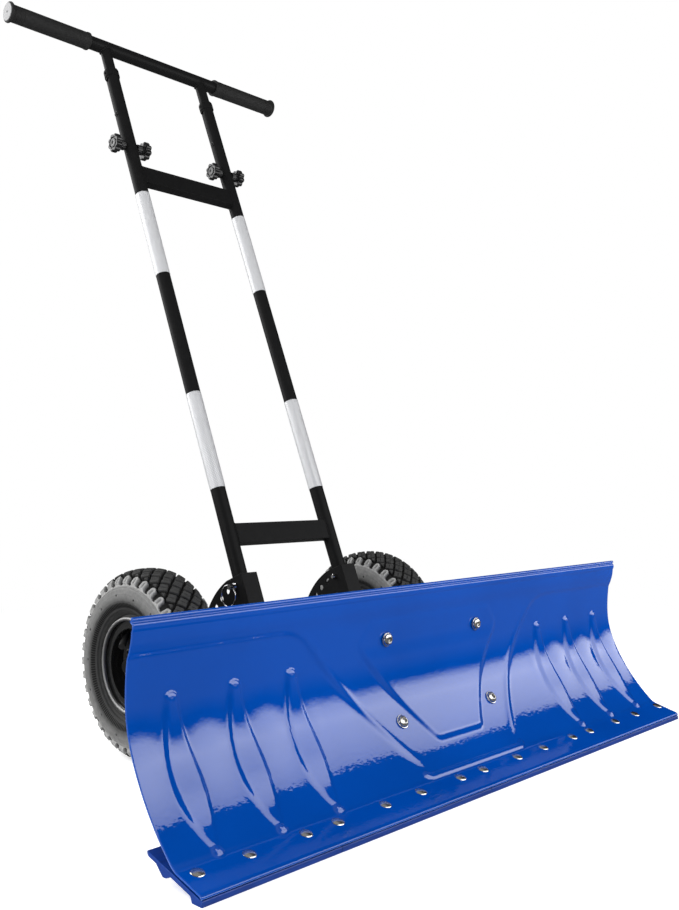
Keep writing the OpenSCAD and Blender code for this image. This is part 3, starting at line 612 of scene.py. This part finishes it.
def lip_bead(x, up_face):
    """A round bead just above the bend of the lip, turned up a little at its ends."""
    line = np.array(LIP_BEAD, float)
    reach = np.full(x.shape, 1e9)
    for a, b in zip(line, line[1:]):
        offset = np.stack([x - a[0], up_face - a[1]], axis=-1)
        t = np.clip(offset @ (b - a) / ((b - a) @ (b - a)), 0, 1)
        reach = np.minimum(reach, np.linalg.norm(offset - t[..., None] * (b - a), axis=-1))
    return 2.2 * np.sqrt(np.clip(1 - (reach / 4.4) ** 2, 0, 1))


def hem_rise(s):
    """The folded top edge: a hem, a groove under it, and a round band."""
    groove = 1.5 * np.clip(1 - ((s - 4.0) / 1.7) ** 2, 0, 1)
    band = 1.1 * np.clip(1 - ((s - 9.2) / 4.6) ** 2, 0, 1) ** 1.5
    return -0.7 * ease(2.4, 0, s) - groove + band


def pressings(x, z, s):
    """How far the front face stands in front of its plain curve, in millimetres."""
    side, up_face = np.abs(x), FACE_LEN - s
    raised = add_ribs(crease_rise(side, z) + shield_rise(x, z), side, z, up_face)
    raised += lip_bead(x, up_face) + hem_rise(s)
    # Slight waves left in the sheet by the press
    waves = 0.05 * np.sin(x / 17.0 + np.sin(z / 31.0) * 1.7) + 0.06 * np.sin(x / 41.0 - z / 23.0)
    return raised + waves * ease(14, 40, s) * ease(0, 8, BLADE_HALF - side)


def build_blade():
    s, y, z, heading = blade_path()
    rows = np.unique(np.concatenate([np.arange(0, 15, 0.5), np.arange(15, s[-1] - 3, 1.9),
                                     [s[-1] - 2, s[-1] - 1, s[-1]]]))
    y, z, heading = (np.interp(rows, s, k) for k in (y, z, heading))
    ends = np.array([BLADE_HALF - 0.9, BLADE_HALF - 0.35, BLADE_HALF])
    inner = np.linspace(-ends[0] + 1.1, ends[0] - 1.1, 456)
    columns = np.concatenate([-ends[::-1], inner, ends])
    thin = np.concatenate([[0.75, 0.3, 0], np.zeros(len(inner)), [0, 0.3, 0.75]])
    x_grid, z_grid = np.meshgrid(columns, z, indexing="ij")
    y_grid, heading_grid = (np.broadcast_to(k, x_grid.shape) for k in (y, heading))
    s_grid = np.broadcast_to(rows, x_grid.shape)
    thin_grid = np.broadcast_to(thin[:, None], x_grid.shape) + 0.7 * ease(0.9, 0, s_grid) \
        + 0.8 * ease(1.6, 0, s[-1] - s_grid)
    out = pressings(x_grid, z_grid, s_grid)
    # Behind, the sheet follows the pressings except where the mount bars hold it
    held = ease(32, 25, np.abs(np.abs(x_grid) - 95)) * ease(36, 42, z_grid) * ease(206, 200, z_grid)
    back = SHEET - out * (1 - held) + 1.6 * ease(7.5, 4.5, s_grid)

    def surface(depth):
        return np.stack([x_grid, y_grid + depth * np.cos(heading_grid),
                         z_grid - depth * np.sin(heading_grid)], axis=-1)

    front_face, back_face = surface(thin_grid - out), surface(back - thin_grid)
    shell = Shell()
    shell.add(np.concatenate([front_face, back_face[:, ::-1]], axis=1), fans=False)
    # A strip between the two faces closes each end
    ring = 2 * len(rows)
    for column in (0, len(columns) - 1):
        base = column * ring
        for k in range(len(rows) - 1):
            quad = (base + k, base + k + 1, base + ring - 2 - k, base + ring - 1 - k)
            shell.faces.append(quad if column else quad[::-1])
    return shell.build("blade_pressed", "chassis", "blade_paint", LOOKS["blade_paint"], 50,
                       ["blade"])


# ---- Blade bolts ------------------------------------------------------------------------------
ROLL_Z = 157.4
MOUNT_BOLT_X = 90.25
# Heights above ROLL_Z, and how far the pressings raise the face there
MOUNT_BOLTS = ((17.2, 4.35), (-79.4, 1.75))


def face_point(z):
    """The plain front face at a height: y and heading."""
    _, y, height, heading = blade_path()
    order = np.argsort(height)
    return (float(np.interp(z, height[order], y[order])),
            float(np.interp(z, height[order], heading[order])))


def hexagon(across):
    """A lathe shape that makes the ring a hexagon when its radius is `across`."""
    def shape(angle, radius, height):
        plain = np.full(angle.shape, float(radius))
        if abs(radius - across) > 1e-6:
            return plain
        return plain / np.cos((angle % (TAU / 6)) - TAU / 12)
    return shape


def thread(place, radius, low, high, pitch=1.25):
    """A screw thread: rings whose crest climbs with the angle."""
    heights = np.arange(low, high, pitch / 6)
    depth = 0.61 * pitch

    def shape(angle, r, height):
        phase = (height / pitch - angle / TAU) % 1
        return r - depth * np.abs(phase * 2 - 1) * ease(0, 1.2, high - height)
    return lathe(place, [(radius, h) for h in heights], 36, shape)


def build_blade_bolts():
    shell = Shell()
    socket = 2.9
    washer = rounded([(0.5, 0), (8.5, 0), (8.5, 1.2), (0.5, 1.2)], 0.35, 3)
    head = rounded([(0.5, 1.2), (7.6, 1.2), (7.4, 2.4)], 0.3, 2)
    head += [(7.6 * math.cos(a), 2.0 + 3.3 * math.sin(a)) for a in np.radians([24, 36, 48, 58])]
    head += [(3.9, 5.05), (3.5, 5.1), (socket, 4.8), (socket, 2.6), (0.4, 2.0)]
    for x in (-MOUNT_BOLT_X, MOUNT_BOLT_X):
        for offset, raised in MOUNT_BOLTS:
            y, heading = face_point(ROLL_Z + offset)
            normal = np.array([0, -math.cos(heading), math.sin(heading)])
            seat = np.array([x, y, ROLL_Z + offset]) + raised * normal
            place = frame_at(seat, normal, RIGHT)
            shell.add(lathe(place, washer, 48))
            shell.add(lathe(place, head, 48, hexagon(socket)))
            shell.add(thread(place, 3.98, -15.5 - raised, 1.0))
    return shell.build("blade_bolt_heads", "chassis", "bright_steel", LOOKS["bright_steel"], 34,
                       ["blade_bolts"])


# The bolt row's distance behind the front edge, and where the strip pieces and their bolts lie
STRIP_BOLT_REACH = 31.2
STRIP_PITCH, STRIP_OFFSET = 251.0, 93.0
STRIP_BOLTS = (-103, -30, 30, 103)


def build_strip_bolts():
    """Domed heads in a row along the lip, with the threads that stick out under the nuts."""
    shell = Shell()
    head_r = 7.8
    slope = math.radians(LIP_ANGLE)
    normal = np.array([0, -math.cos(slope), math.sin(slope)])
    row = np.array([0, FRONT_Y, FRONT_Z]) + STRIP_BOLT_REACH * np.array([0, normal[2], -normal[1]])
    head = [(0.5, 0.05), (7.0, 0.05), (7.6, 0.25), (head_r, 0.7)]
    head += [(7.6 * math.cos(a), 0.7 + 3.0 * math.sin(a)) for a in np.radians(range(12, 88, 9))]
    head += [(0.4, 3.7)]
    for piece in range(-2, 2):
        for offset in STRIP_BOLTS:
            x = STRIP_OFFSET + piece * STRIP_PITCH + offset
            if abs(x) < BLADE_HALF - 6:
                place = frame_at(row + x * RIGHT, normal, RIGHT)
                shell.add(lathe(place, head, 48))
                shell.add(thread(place, 2.98, -11.6, 0.4, 1.0))
    return shell.build("strip_bolt_heads", "chassis", "bright_steel", LOOKS["bright_steel"], 34,
                       ["strip_bolts"])


# ---- Tyres ------------------------------------------------------------------------------------
TYRE_R, TYRE_HALF, WAIST = 127.0, 42.0, 92.0
LUGS = 36
PITCH = TAU * TYRE_R / LUGS
TREAD_EDGE = 30.5
LUG_LEN = 16.0
PIPS = 14
# Round ridges on the sidewall: distance below the tread's edge, height and half width
WALL_RIDGES = ((18.0, 0.9, 1.1), (20.6, 0.5, 0.8), (27.5, 0.5, 0.9), (37.0, 0.45, 0.9),
               (50.5, 1.0, 1.6), (55.5, 0.7, 1.2))
# The rolled rim edge: the middle of its section, as radius and offset, and its radius
ROLL_MIDDLE, ROLL_R = (62.0, 32.5), 2.6


def tyre_curve():
    """The carcass from one bead over the crown to the other: radius, offset, arc length."""
    a = np.radians(np.linspace(-54, 90, 700))
    reach = np.where(a > 0, TYRE_R - WAIST, 30.0) * np.abs(np.sin(a)) ** 0.9
    r = WAIST + np.sign(a) * reach
    x = TYRE_HALF * np.abs(np.cos(a)) ** 0.8
    r, x = (np.concatenate([k, m]) for k, m in ((r, r[-2::-1]), (x, -x[-2::-1])))
    s = np.concatenate([[0], np.cumsum(np.hypot(np.diff(r), np.diff(x)))])
    return r, x, s - s[-1] / 2


def block_depth(turn, s):
    """Slanting and crossing grooves cut the tread into blocks, and a thin cut crosses each."""
    def line(phase):
        return np.abs(phase % 1 - 0.5) * PITCH / math.sqrt(2)

    slant, cross = line(turn + s / PITCH), line(turn - s / PITCH)
    step_in = 0.35 * np.sign(np.sin((turn - s / PITCH) * TAU))
    dash = 0.5 + 0.5 * np.cos((turn + s / PITCH) * 2 * TAU)
    depth = np.maximum(4.6 * (1 - ease(1.2, 2.2, slant + step_in)),
                       (3.4 + 1.0 * dash) * (1 - ease(1.1, 2.0, cross)))
    sipe = (0.6 + 1.2 * dash) * (1 - ease(0.45, 1.0, line(turn - s / PITCH + 0.5)))
    floor = 3.6
    in_tread = 1 - ease(TREAD_EDGE - 1.4, TREAD_EDGE, np.abs(s))
    return floor + (np.maximum(depth, sipe) - floor) * in_tread


def shoulder_lugs(turn, s, v, local):
    """Round at the tip, wider towards the base, each with a slot down its middle: depth, and how
    far each point lies on a lug and in its slot. local is the room that one lug has."""
    u = np.abs((turn + 0.25 * np.sign(s)) % 1 - 0.5) * local
    tip = np.sqrt(np.clip(1 - (np.clip(4.6 - v, 0, 4.6) / 4.6) ** 2, 0, 1))
    half = tip * (5.1 + 0.5 * v / LUG_LEN) + (local / 2 - 5) * ease(12.5, 15.5, v)
    lug = ease(-0.5, 0.8, half - u) * (v > 0)
    slot = (1 - ease(0.9, 1.7, u)) * ease(3.0, 4.2, v) * (1 - ease(10.5, 11.5, v))
    valley = 5.8
    crest = 0.1 + 3.1 * ease(10.5, 14.5, v)
    return valley + (crest - valley) * lug + 1.3 * slot * lug, lug, slot


def sidewall(theta, v, r):
    """Round ridges, small vent pips and fine ribs near the bead: depth, and a tone with light and
    shade painted in.
    """
    depth = 3.2 - 1.7 * ease(19, 44, v)
    for at, height, width in WALL_RIDGES:
        depth = depth - height * np.clip(1 - ((v - at) / width) ** 2, 0, 1)
    depth = depth * (1 - ease(56, 60, v))
    apart = ((theta / TAU * PIPS) % 1 - 0.5) * TAU * r / PIPS
    pip = np.hypot(apart, v - 31 - 2 * np.sin(theta * PIPS / 2))
    pip = (1 - ease(1.0, 1.9, pip)) * (v > 0)
    comb = (0.5 + 0.5 * np.cos(theta * 156)) * ease(39, 40.5, v) * (1 - ease(46.5, 48, v))
    # Painted light: the sidewall is made light, lighter near the tread and darker towards the bead;
    # painted shade darkens the pips, and the fine ribs are made darker too
    tone = 0.5 - 0.1 * ease(20, 23, v) - 0.32 * ease(26, 44, v)
    return depth + 1.6 * pip - 0.5 * comb, tone * (1 - 0.9 * pip) - 0.12 * comb


def tread(theta, s, r):
    """How far the surface lies below the carcass curve, and a tone with light and shade painted
    into the rubber: painted shade in the grooves, the slots and between the lugs, painted light on
    the lugs and the sidewall.
    """
    turn = theta / TAU * LUGS
    v = np.abs(s) - TREAD_EDGE - 0.6
    lug_depth, lug, slot = shoulder_lugs(turn, s, v, TAU * r / LUGS)
    wall_depth, wall_light_and_shade = sidewall(theta, v, r)
    wall = ease(LUG_LEN - 0.6, LUG_LEN + 0.4, v)
    depth = np.where(v > 0, lug_depth, block_depth(turn, s)) * (1 - wall) + wall_depth * wall
    top = np.clip(1 - depth / 3.4, 0, 1)
    # Painted light and shade: light lugs with a darker slot, dark valleys between them, and block
    # tops lighter than the dark grooves between the blocks
    tone = np.where(v > 0, 0.03 + 0.8 * lug * (1 - 0.45 * slot), 0.01 + 0.11 * top)
    return depth, tone * (1 - wall) + wall_light_and_shade * wall


def build_tyre(name, side):
    columns = LUGS * 26
    r, x, s = tyre_curve()
    fine = np.arange(-TREAD_EDGE - LUG_LEN - 3, TREAD_EDGE + LUG_LEN + 3.1, 0.86)
    coarse = np.linspace(fine[-1] + 1.0, s[-1], 48)
    rows = np.concatenate([-coarse[::-1], fine, coarse])
    rr, xx = np.interp(rows, s, r), np.interp(rows, s, x)
    slope_r, slope_x = np.gradient(rr, rows), np.gradient(xx, rows)
    size = np.hypot(slope_r, slope_x)
    normal_r, normal_x = -slope_x / size, slope_r / size
    flip = np.sign((normal_r * (rr - WAIST + 10) + normal_x * xx).sum())
    normal_r, normal_x = normal_r * flip, normal_x * flip
    theta = np.arange(columns) / columns * TAU
    theta_grid, s_grid = np.meshgrid(theta, rows)
    depth, tone = tread(theta_grid, s_grid, rr[:, None])
    radius = rr[:, None] - depth * normal_r[:, None]
    offset = xx[:, None] - depth * normal_x[:, None]
    # The bead seat and the lining close the section
    inside = [(67.0, -27.4), (51.3, -27.4), (51.3, -18.0)]
    for angle in np.radians(np.linspace(-58, 80, 16)):
        reach = 29 * abs(math.sin(angle)) ** 0.9 * math.copysign(1, angle)
        inside.append((WAIST - 2 + reach, -36 * math.cos(angle) ** 0.8))
    inside += [(119.0, 0.0)] + [(a, -b) for a, b in inside[::-1]]
    lining_r = np.repeat(np.array([p[0] for p in inside])[:, None], columns, axis=1)
    lining_x = np.repeat(np.array([p[1] for p in inside])[:, None], columns, axis=1)
    # rows start at the +X bead, so the lining runs from the -X bead back to it
    radius, offset = np.vstack([radius, lining_r]), np.vstack([offset, lining_x])
    rings = np.stack([side * WHEEL_X + side * offset, -radius * np.sin(theta),
                      AXLE_Z + radius * np.cos(theta)], axis=-1)
    shell = Shell().add(rings, loop=True)
    hand = "left" if side < 0 else "right"
    obj = shell.build(name, f"wheel_{hand}", "tyre_rubber", LOOKS["tyre_rubber"], 62,
                      [f"tyre_{hand}"])
    # The tread's tone, with its painted light and shade, goes to the rubber as an attribute; the
    # lining gets a plain tone
    values = np.concatenate([tone.ravel(), np.full(lining_r.size, 0.2)])
    obj.data.attributes.new("tone", "FLOAT", "POINT").data.foreach_set("value", values)
    return obj


def build_rim_rolls():
    """The rolled outer edge of each rim half, against the tyre's bead."""
    roll = [(ROLL_MIDDLE[0] + ROLL_R * math.cos(a), ROLL_MIDDLE[1] + ROLL_R * math.sin(a))
            for a in np.radians(range(0, 360, 20))]
    dull = plated("rolled_edge", (0.34, 0.34, 0.34), (0.46, 0.46, 0.46), 0.5, 0.65)
    for side_name, side in SIDES:
        shell = Shell()
        for out in (-1, 1):
            place = frame_at((side * WHEEL_X, 0, AXLE_Z), out * RIGHT, (0, 0, 1))
            shell.add(lathe(place, roll, 120), loop=True)
        shell.build(f"rim_rolls_{side_name}", f"wheel_{side_name}", "bright_steel", dull)


# ---- Handle pieces ----------------------------------------------------------------------------
CLAMP_T = 843.5
KNOB_LOBES = 8
KNOB_FACE = 33.0


def build_knob(name, side, out):
    """A star knob: ribbed hub, lobed head, and a raised disc in a round groove."""
    place = frame_at(on_tube(side, CLAMP_T), out * RIGHT, TUBE_UP)
    columns = KNOB_LOBES * 14

    def shape(angle, radius, height):
        if radius > 10.2:
            lobe = (0.5 + 0.5 * np.cos(KNOB_LOBES * angle)) ** 0.75
            return (12.25 + 2.7 * lobe) * radius / 15.0
        if radius > 7.55 and height < 22:
            return radius - 0.55 * (0.5 - 0.5 * np.cos(16 * angle)) ** 2
        return np.full(angle.shape, float(radius))

    top = KNOB_FACE - 0.05
    profile = [(0.4, 27.9), (3.1, 27.9), (3.1, 11.4), (6.9, 11.4), (7.3, 11.6), (7.9, 12.4),
               (7.9, 21.6), (7.5, 22.2), (9.0, 22.6), (11.5, 22.7), (14.2, 23.1), (14.8, 23.8),
               (15.0, 24.8), (15.0, 30.6), (14.75, 31.8), (14.1, 32.6), (13.0, top), (11.0, top),
               (10.1, top - 0.1), (9.8, top - 0.6), (9.7, top - 1.6), (9.4, top - 1.9),
               (7.6, top - 1.9), (7.3, top - 1.5), (7.2, top - 0.5), (6.9, top - 0.15),
               (6.5, top), (2.6, top), (2.3, top - 0.25), (2.1, top - 0.9), (0.4, top - 1.0)]
    return Shell().add(lathe(place, profile, columns, shape)).build(
        name + "_star", name, "knob_plastic", LOOKS["knob_plastic"], 42, [name])


GRIP_START, GRIP_LEN = 131.0, 141.0


def build_grip(name, side):
    """A moulded grip: an inner ring, a plain neck, the body and a wide end flange."""
    bore = TUBE_R + 0.03
    outline = [(bore, 138.5), (bore, 0), (14.2, 0), (14.5, 1.2), (14.5, 3.8), (13.7, 5.2),
               (13.7, 19.5), (13.1, 20.3), (13.1, 21.3), (13.6, 22.2)]
    ribs = []
    for start in range(118, 136, 3):
        ribs += [(13.6, start), (13.1, start + 0.6), (13.1, start + 1.4), (13.6, start + 2)]
    outline += ribs + [(13.6, 136), (15.6, 137), (16.3, 138.2), (16.3, 140), (15.6, GRIP_LEN),
                       (13.8, GRIP_LEN)]
    profile = [(0.4, 138.5)] + rounded(outline, 0.5, 3) + [(0.4, GRIP_LEN)]
    place = frame_at(on_tube(0, BAR_T) + side * GRIP_START * RIGHT, side * RIGHT, TUBE_UP)
    return Shell().add(lathe(place, profile, 72)).build(
        name + "_moulded", "handle_top", "grip_rubber", LOOKS["grip_rubber"], 40, [name])


def build_collars():
    """A sleeve round the top of each handle tube, with a small rivet on one side."""
    shell = Shell()
    sleeve = [(TUBE_R + 0.05, 984), (12.1, 984), (12.45, 984.6), (12.45, 995.6), (12.1, 997),
              (11.3, 998.2), (10.4, 998.6), (RISER_R + 0.25, 998.6), (RISER_R + 0.25, 996.1),
              (TUBE_R + 0.05, 996.1)]
    rivet = [(2.4, 11.6), (2.4, 12.6), (2.2, 13.3), (1.6, 13.9), (0.7, 14.2)]
    for _, side in SIDES:
        shell.add(lathe(frame_at(on_tube(side, 0), TUBE_UP, RIGHT), sleeve, 64), loop=True)
        place = frame_at(on_tube(side, 990.5), -RIGHT, TUBE_UP)
        shell.add(lathe(place, rivet, 24))
    return shell.build("tube_collars", "handle_frame", "frame_paint", LOOKS["frame_paint"])


# Where the crossbars cross the tubes, and the heights of the arms' joints behind the blade
CROSSBAR_T = (171.5, 789.0)
ARM_JOINT_Z = (100.0, 125.0)


def build_welds():
    """Fillet beads: risers to handlebar, crossbars to tubes, and the joints behind the blade."""
    angle = np.arange(48) / 48 * TAU
    bars = Shell()
    for _, side in SIDES:
        origin = on_tube(side, BAR_T)
        square = RISER_R * np.sin(angle)
        line = (origin + np.outer(RISER_R * np.cos(angle), RIGHT) + np.outer(square, TUBE_BACK)
                - np.outer(np.sqrt(TUBE_R ** 2 - square ** 2) + 0.4, TUBE_UP))
        bars.add(bead_path(line, 1.9), loop=True)
    bars.build("bar_welds", "handle_top", "frame_paint", LOOKS["frame_paint"])
    cross = Shell()
    half_h, half_d = 14.6, 7.1
    for t in CROSSBAR_T:
        for _, side in SIDES:
            corners = np.array([(-1, -1), (1, -1), (1, 1), (-1, 1)]) * (half_h, half_d)
            outline = [a + (b - a) * k for a, b in zip(corners, np.roll(corners, -1, axis=0))
                       for k in np.linspace(0, 1, 8, endpoint=False)]
            line = [on_tube(side, t + h) + d * TUBE_BACK
                    - side * math.sqrt(TUBE_R ** 2 - d * d) * RIGHT for h, d in outline]
            cross.add(bead_path(line, 1.3), loop=True)
    cross.build("crossbar_welds", "handle_frame", "frame_paint", LOOKS["frame_paint"])
    rear = Shell()
    half, sleeve, bracket_half = 12.2, 12.6, 14.0
    for _, side in SIDES:
        for z in ARM_JOINT_Z:
            y, heading = face_point(z)
            y += 6.3 / math.cos(heading)
            line = [(side * TUBE_X - half, y, z), (side * TUBE_X + half, y, z),
                    (side * TUBE_X + half, y + 1.2, z), (side * TUBE_X - half, y + 1.2, z)]
            rear.add(bead_path(line, 1.8), loop=True)
        inner = side * (TUBE_X - bracket_half)
        line = np.stack([np.full(48, inner), sleeve * np.cos(angle),
                         AXLE_Z + sleeve * np.sin(angle)], axis=1)
        rear.add(bead_path(line, 1.6), loop=True)
    rear.build("chassis_welds", "chassis", "frame_paint", LOOKS["frame_paint"])


build_blade()
build_blade_bolts()
build_strip_bolts()
for side_name, side_sign in SIDES:
    build_tyre(f"tyre_tread_{side_name}", side_sign)
    build_knob(f"knob_outer_{side_name}", side_sign, side_sign)
    build_knob(f"knob_inner_{side_name}", side_sign, -side_sign)
    build_grip(f"grip_{side_name}", side_sign)
build_rim_rolls()
build_collars()
build_welds()


# ---- Floor, lights and camera -----------------------------------------------------------------
def build_floor():
    half_m = 30
    mesh = bpy.data.meshes.new("floor")
    mesh.from_pydata([(-half_m, -half_m, 0), (half_m, -half_m, 0), (half_m, half_m, 0),
                      (-half_m, half_m, 0)], [], [(0, 1, 2, 3)])
    look = Look("floor", Roughness=0.9, Specular_IOR_Level=0.0, Base_Color=(0.86, 0.86, 0.86),
                Emission_Color=(1, 1, 1), Emission_Strength=0.5)
    distance = look.node("VectorMath", "Value", settings={"operation": "LENGTH"}, i0=look.place())
    far = look.node("MapRange", "Result", settings={"interpolation_type": "SMOOTHSTEP"},
                    Value=distance, From_Min=0.7, From_Max=1.8)
    white = look.node("Emission", Color=(1, 1, 1), Strength=1.0)
    mixed = look.node("MixShader", i0=far, i1=look.shader.outputs[0], i2=white)
    look.tree.links.new(mixed, look.tree.nodes["Material Output"].inputs["Surface"])
    mesh.materials.append(look.material)
    floor = bpy.data.objects.new("floor", mesh)
    bpy.context.scene.collection.objects.link(floor)
    floor.visible_glossy = False


def softbox(name, place, facing, width_m, height_m, radiance, glossy=True):
    """A rectangular light at a place, facing a direction."""
    light = bpy.data.lights.new(name, "AREA")
    light.shape = "RECTANGLE"
    light.size, light.size_y = width_m, height_m
    light.energy = radiance * width_m * height_m * math.pi
    obj = bpy.data.objects.new(name, light)
    obj.location = Vector(world([place])[0])
    obj.rotation_euler = (-Vector(facing)).to_track_quat("Z", "Y").to_euler()
    obj.visible_glossy = glossy
    obj.visible_camera = False
    bpy.context.scene.collection.objects.link(obj)
    return light


def shade_upwards(light, soft, peak, top):
    """Fades a light in over its lowest part, and dims it from its peak to its top edge."""
    light.use_nodes = True
    tree = light.node_tree
    height = tree.nodes.new("ShaderNodeSeparateXYZ")
    tree.links.new(tree.nodes.new("ShaderNodeNewGeometry").outputs["Parametric"], height.inputs[0])
    ramp = tree.nodes.new("ShaderNodeValToRGB")
    ramp.color_ramp.elements[0].position = 0.0
    ramp.color_ramp.elements[0].color = (0, 0, 0, 1)
    for position, value in ((soft, 0.8), (peak, 1.0)):
        stop = ramp.color_ramp.elements.new(position)
        stop.color = (value, value, value, 1)
    last = ramp.color_ramp.elements[len(ramp.color_ramp.elements) - 1]
    last.position, last.color = 1.0, (top, top, top, 1)
    tree.links.new(height.outputs["Y"], ramp.inputs["Fac"])
    tree.links.new(ramp.outputs["Color"], tree.nodes["Emission"].inputs["Strength"])


def build_world():
    """White to the camera, dimmer to everything that it lights, nearly dark in reflections."""
    scene_world = bpy.data.worlds.new("studio")
    scene_world.use_nodes = True
    bpy.context.scene.world = scene_world
    tree = scene_world.node_tree

    def picked(chooser, first, second):
        mix = tree.nodes.new("ShaderNodeMix")
        tree.links.new(chooser, mix.inputs["Factor"])
        for socket, value in zip((mix.inputs[2], mix.inputs[3]), (first, second)):
            if hasattr(value, "is_output"):
                tree.links.new(value, socket)
            else:
                socket.default_value = value
        return mix.outputs[0]

    ray = tree.nodes.new("ShaderNodeLightPath")
    split = tree.nodes.new("ShaderNodeSeparateXYZ")
    tree.links.new(tree.nodes.new("ShaderNodeTexCoord").outputs["Generated"], split.inputs[0])

    def climb(low, high):
        rise = tree.nodes.new("ShaderNodeMapRange")
        rise.inputs["From Min"].default_value, rise.inputs["From Max"].default_value = low, high
        tree.links.new(split.outputs["Z"], rise.inputs["Value"])
        return rise.outputs["Result"]

    # By the height that a ray points to: dark, ground, dark horizon, and a lighter top
    ground = picked(climb(-0.7, -0.55), 0.0, 0.17)
    reflected = picked(climb(0.78, 0.95), picked(climb(-0.1, 0.1), ground, 0.01), 0.28)
    diffused = picked(climb(0.0, 0.9), 0.46, 0.12)
    seen = picked(ray.outputs["Is Glossy Ray"], diffused, reflected)
    level = picked(ray.outputs["Is Camera Ray"], seen, 1.0)
    background = tree.nodes["Background"]
    tree.links.new(level, background.inputs["Strength"])
    background.inputs["Color"].default_value = (1, 1, 1, 1)


def build_camera():
    """The viewing angle: in front of the blade's left half, a little above the knobs' middle."""
    place_m = world([(-965.9, -1086.6, 354.9)])[0]
    forward = Vector((0.71534, 0.69783, 0.03637))
    right = Vector((0.69851, -0.71553, -0.00977))
    up = right.cross(forward)
    camera = bpy.data.cameras.new("camera")
    camera.lens = 37.83
    camera.sensor_width = 36
    camera.shift_y = 0.0016
    camera.clip_start, camera.clip_end = 0.01, 100
    obj = bpy.data.objects.new("camera", camera)
    turn = Matrix((right, up, -forward)).transposed()
    obj.matrix_world = Matrix.Translation(place_m) @ turn.to_4x4()
    bpy.context.scene.collection.objects.link(obj)
    bpy.context.scene.camera = obj


build_floor()
build_world()
front_wall = softbox("front_wall", (1575, -1330, 965), facing=(0, 1, 0), width_m=4.05,
                     height_m=1.17, radiance=3.7)
shade_upwards(front_wall, soft=0.14, peak=0.35, top=0.5)
softbox("rear_left", (-1200, 1800, 1500), facing=(0.55, -0.75, -0.4), width_m=2.4, height_m=2.2,
        radiance=3.2)
softbox("upper_left", (-1750, -400, 1965), facing=(0.62, 0.17, -0.77), width_m=1.5, height_m=1.5,
        radiance=3.6, glossy=False)
softbox("left", (-2460, 0, 700), facing=(1, 0, -0.25), width_m=1.3, height_m=1.3, radiance=2.6)
build_camera()
bpy.context.scene.view_settings.view_transform = "Standard"
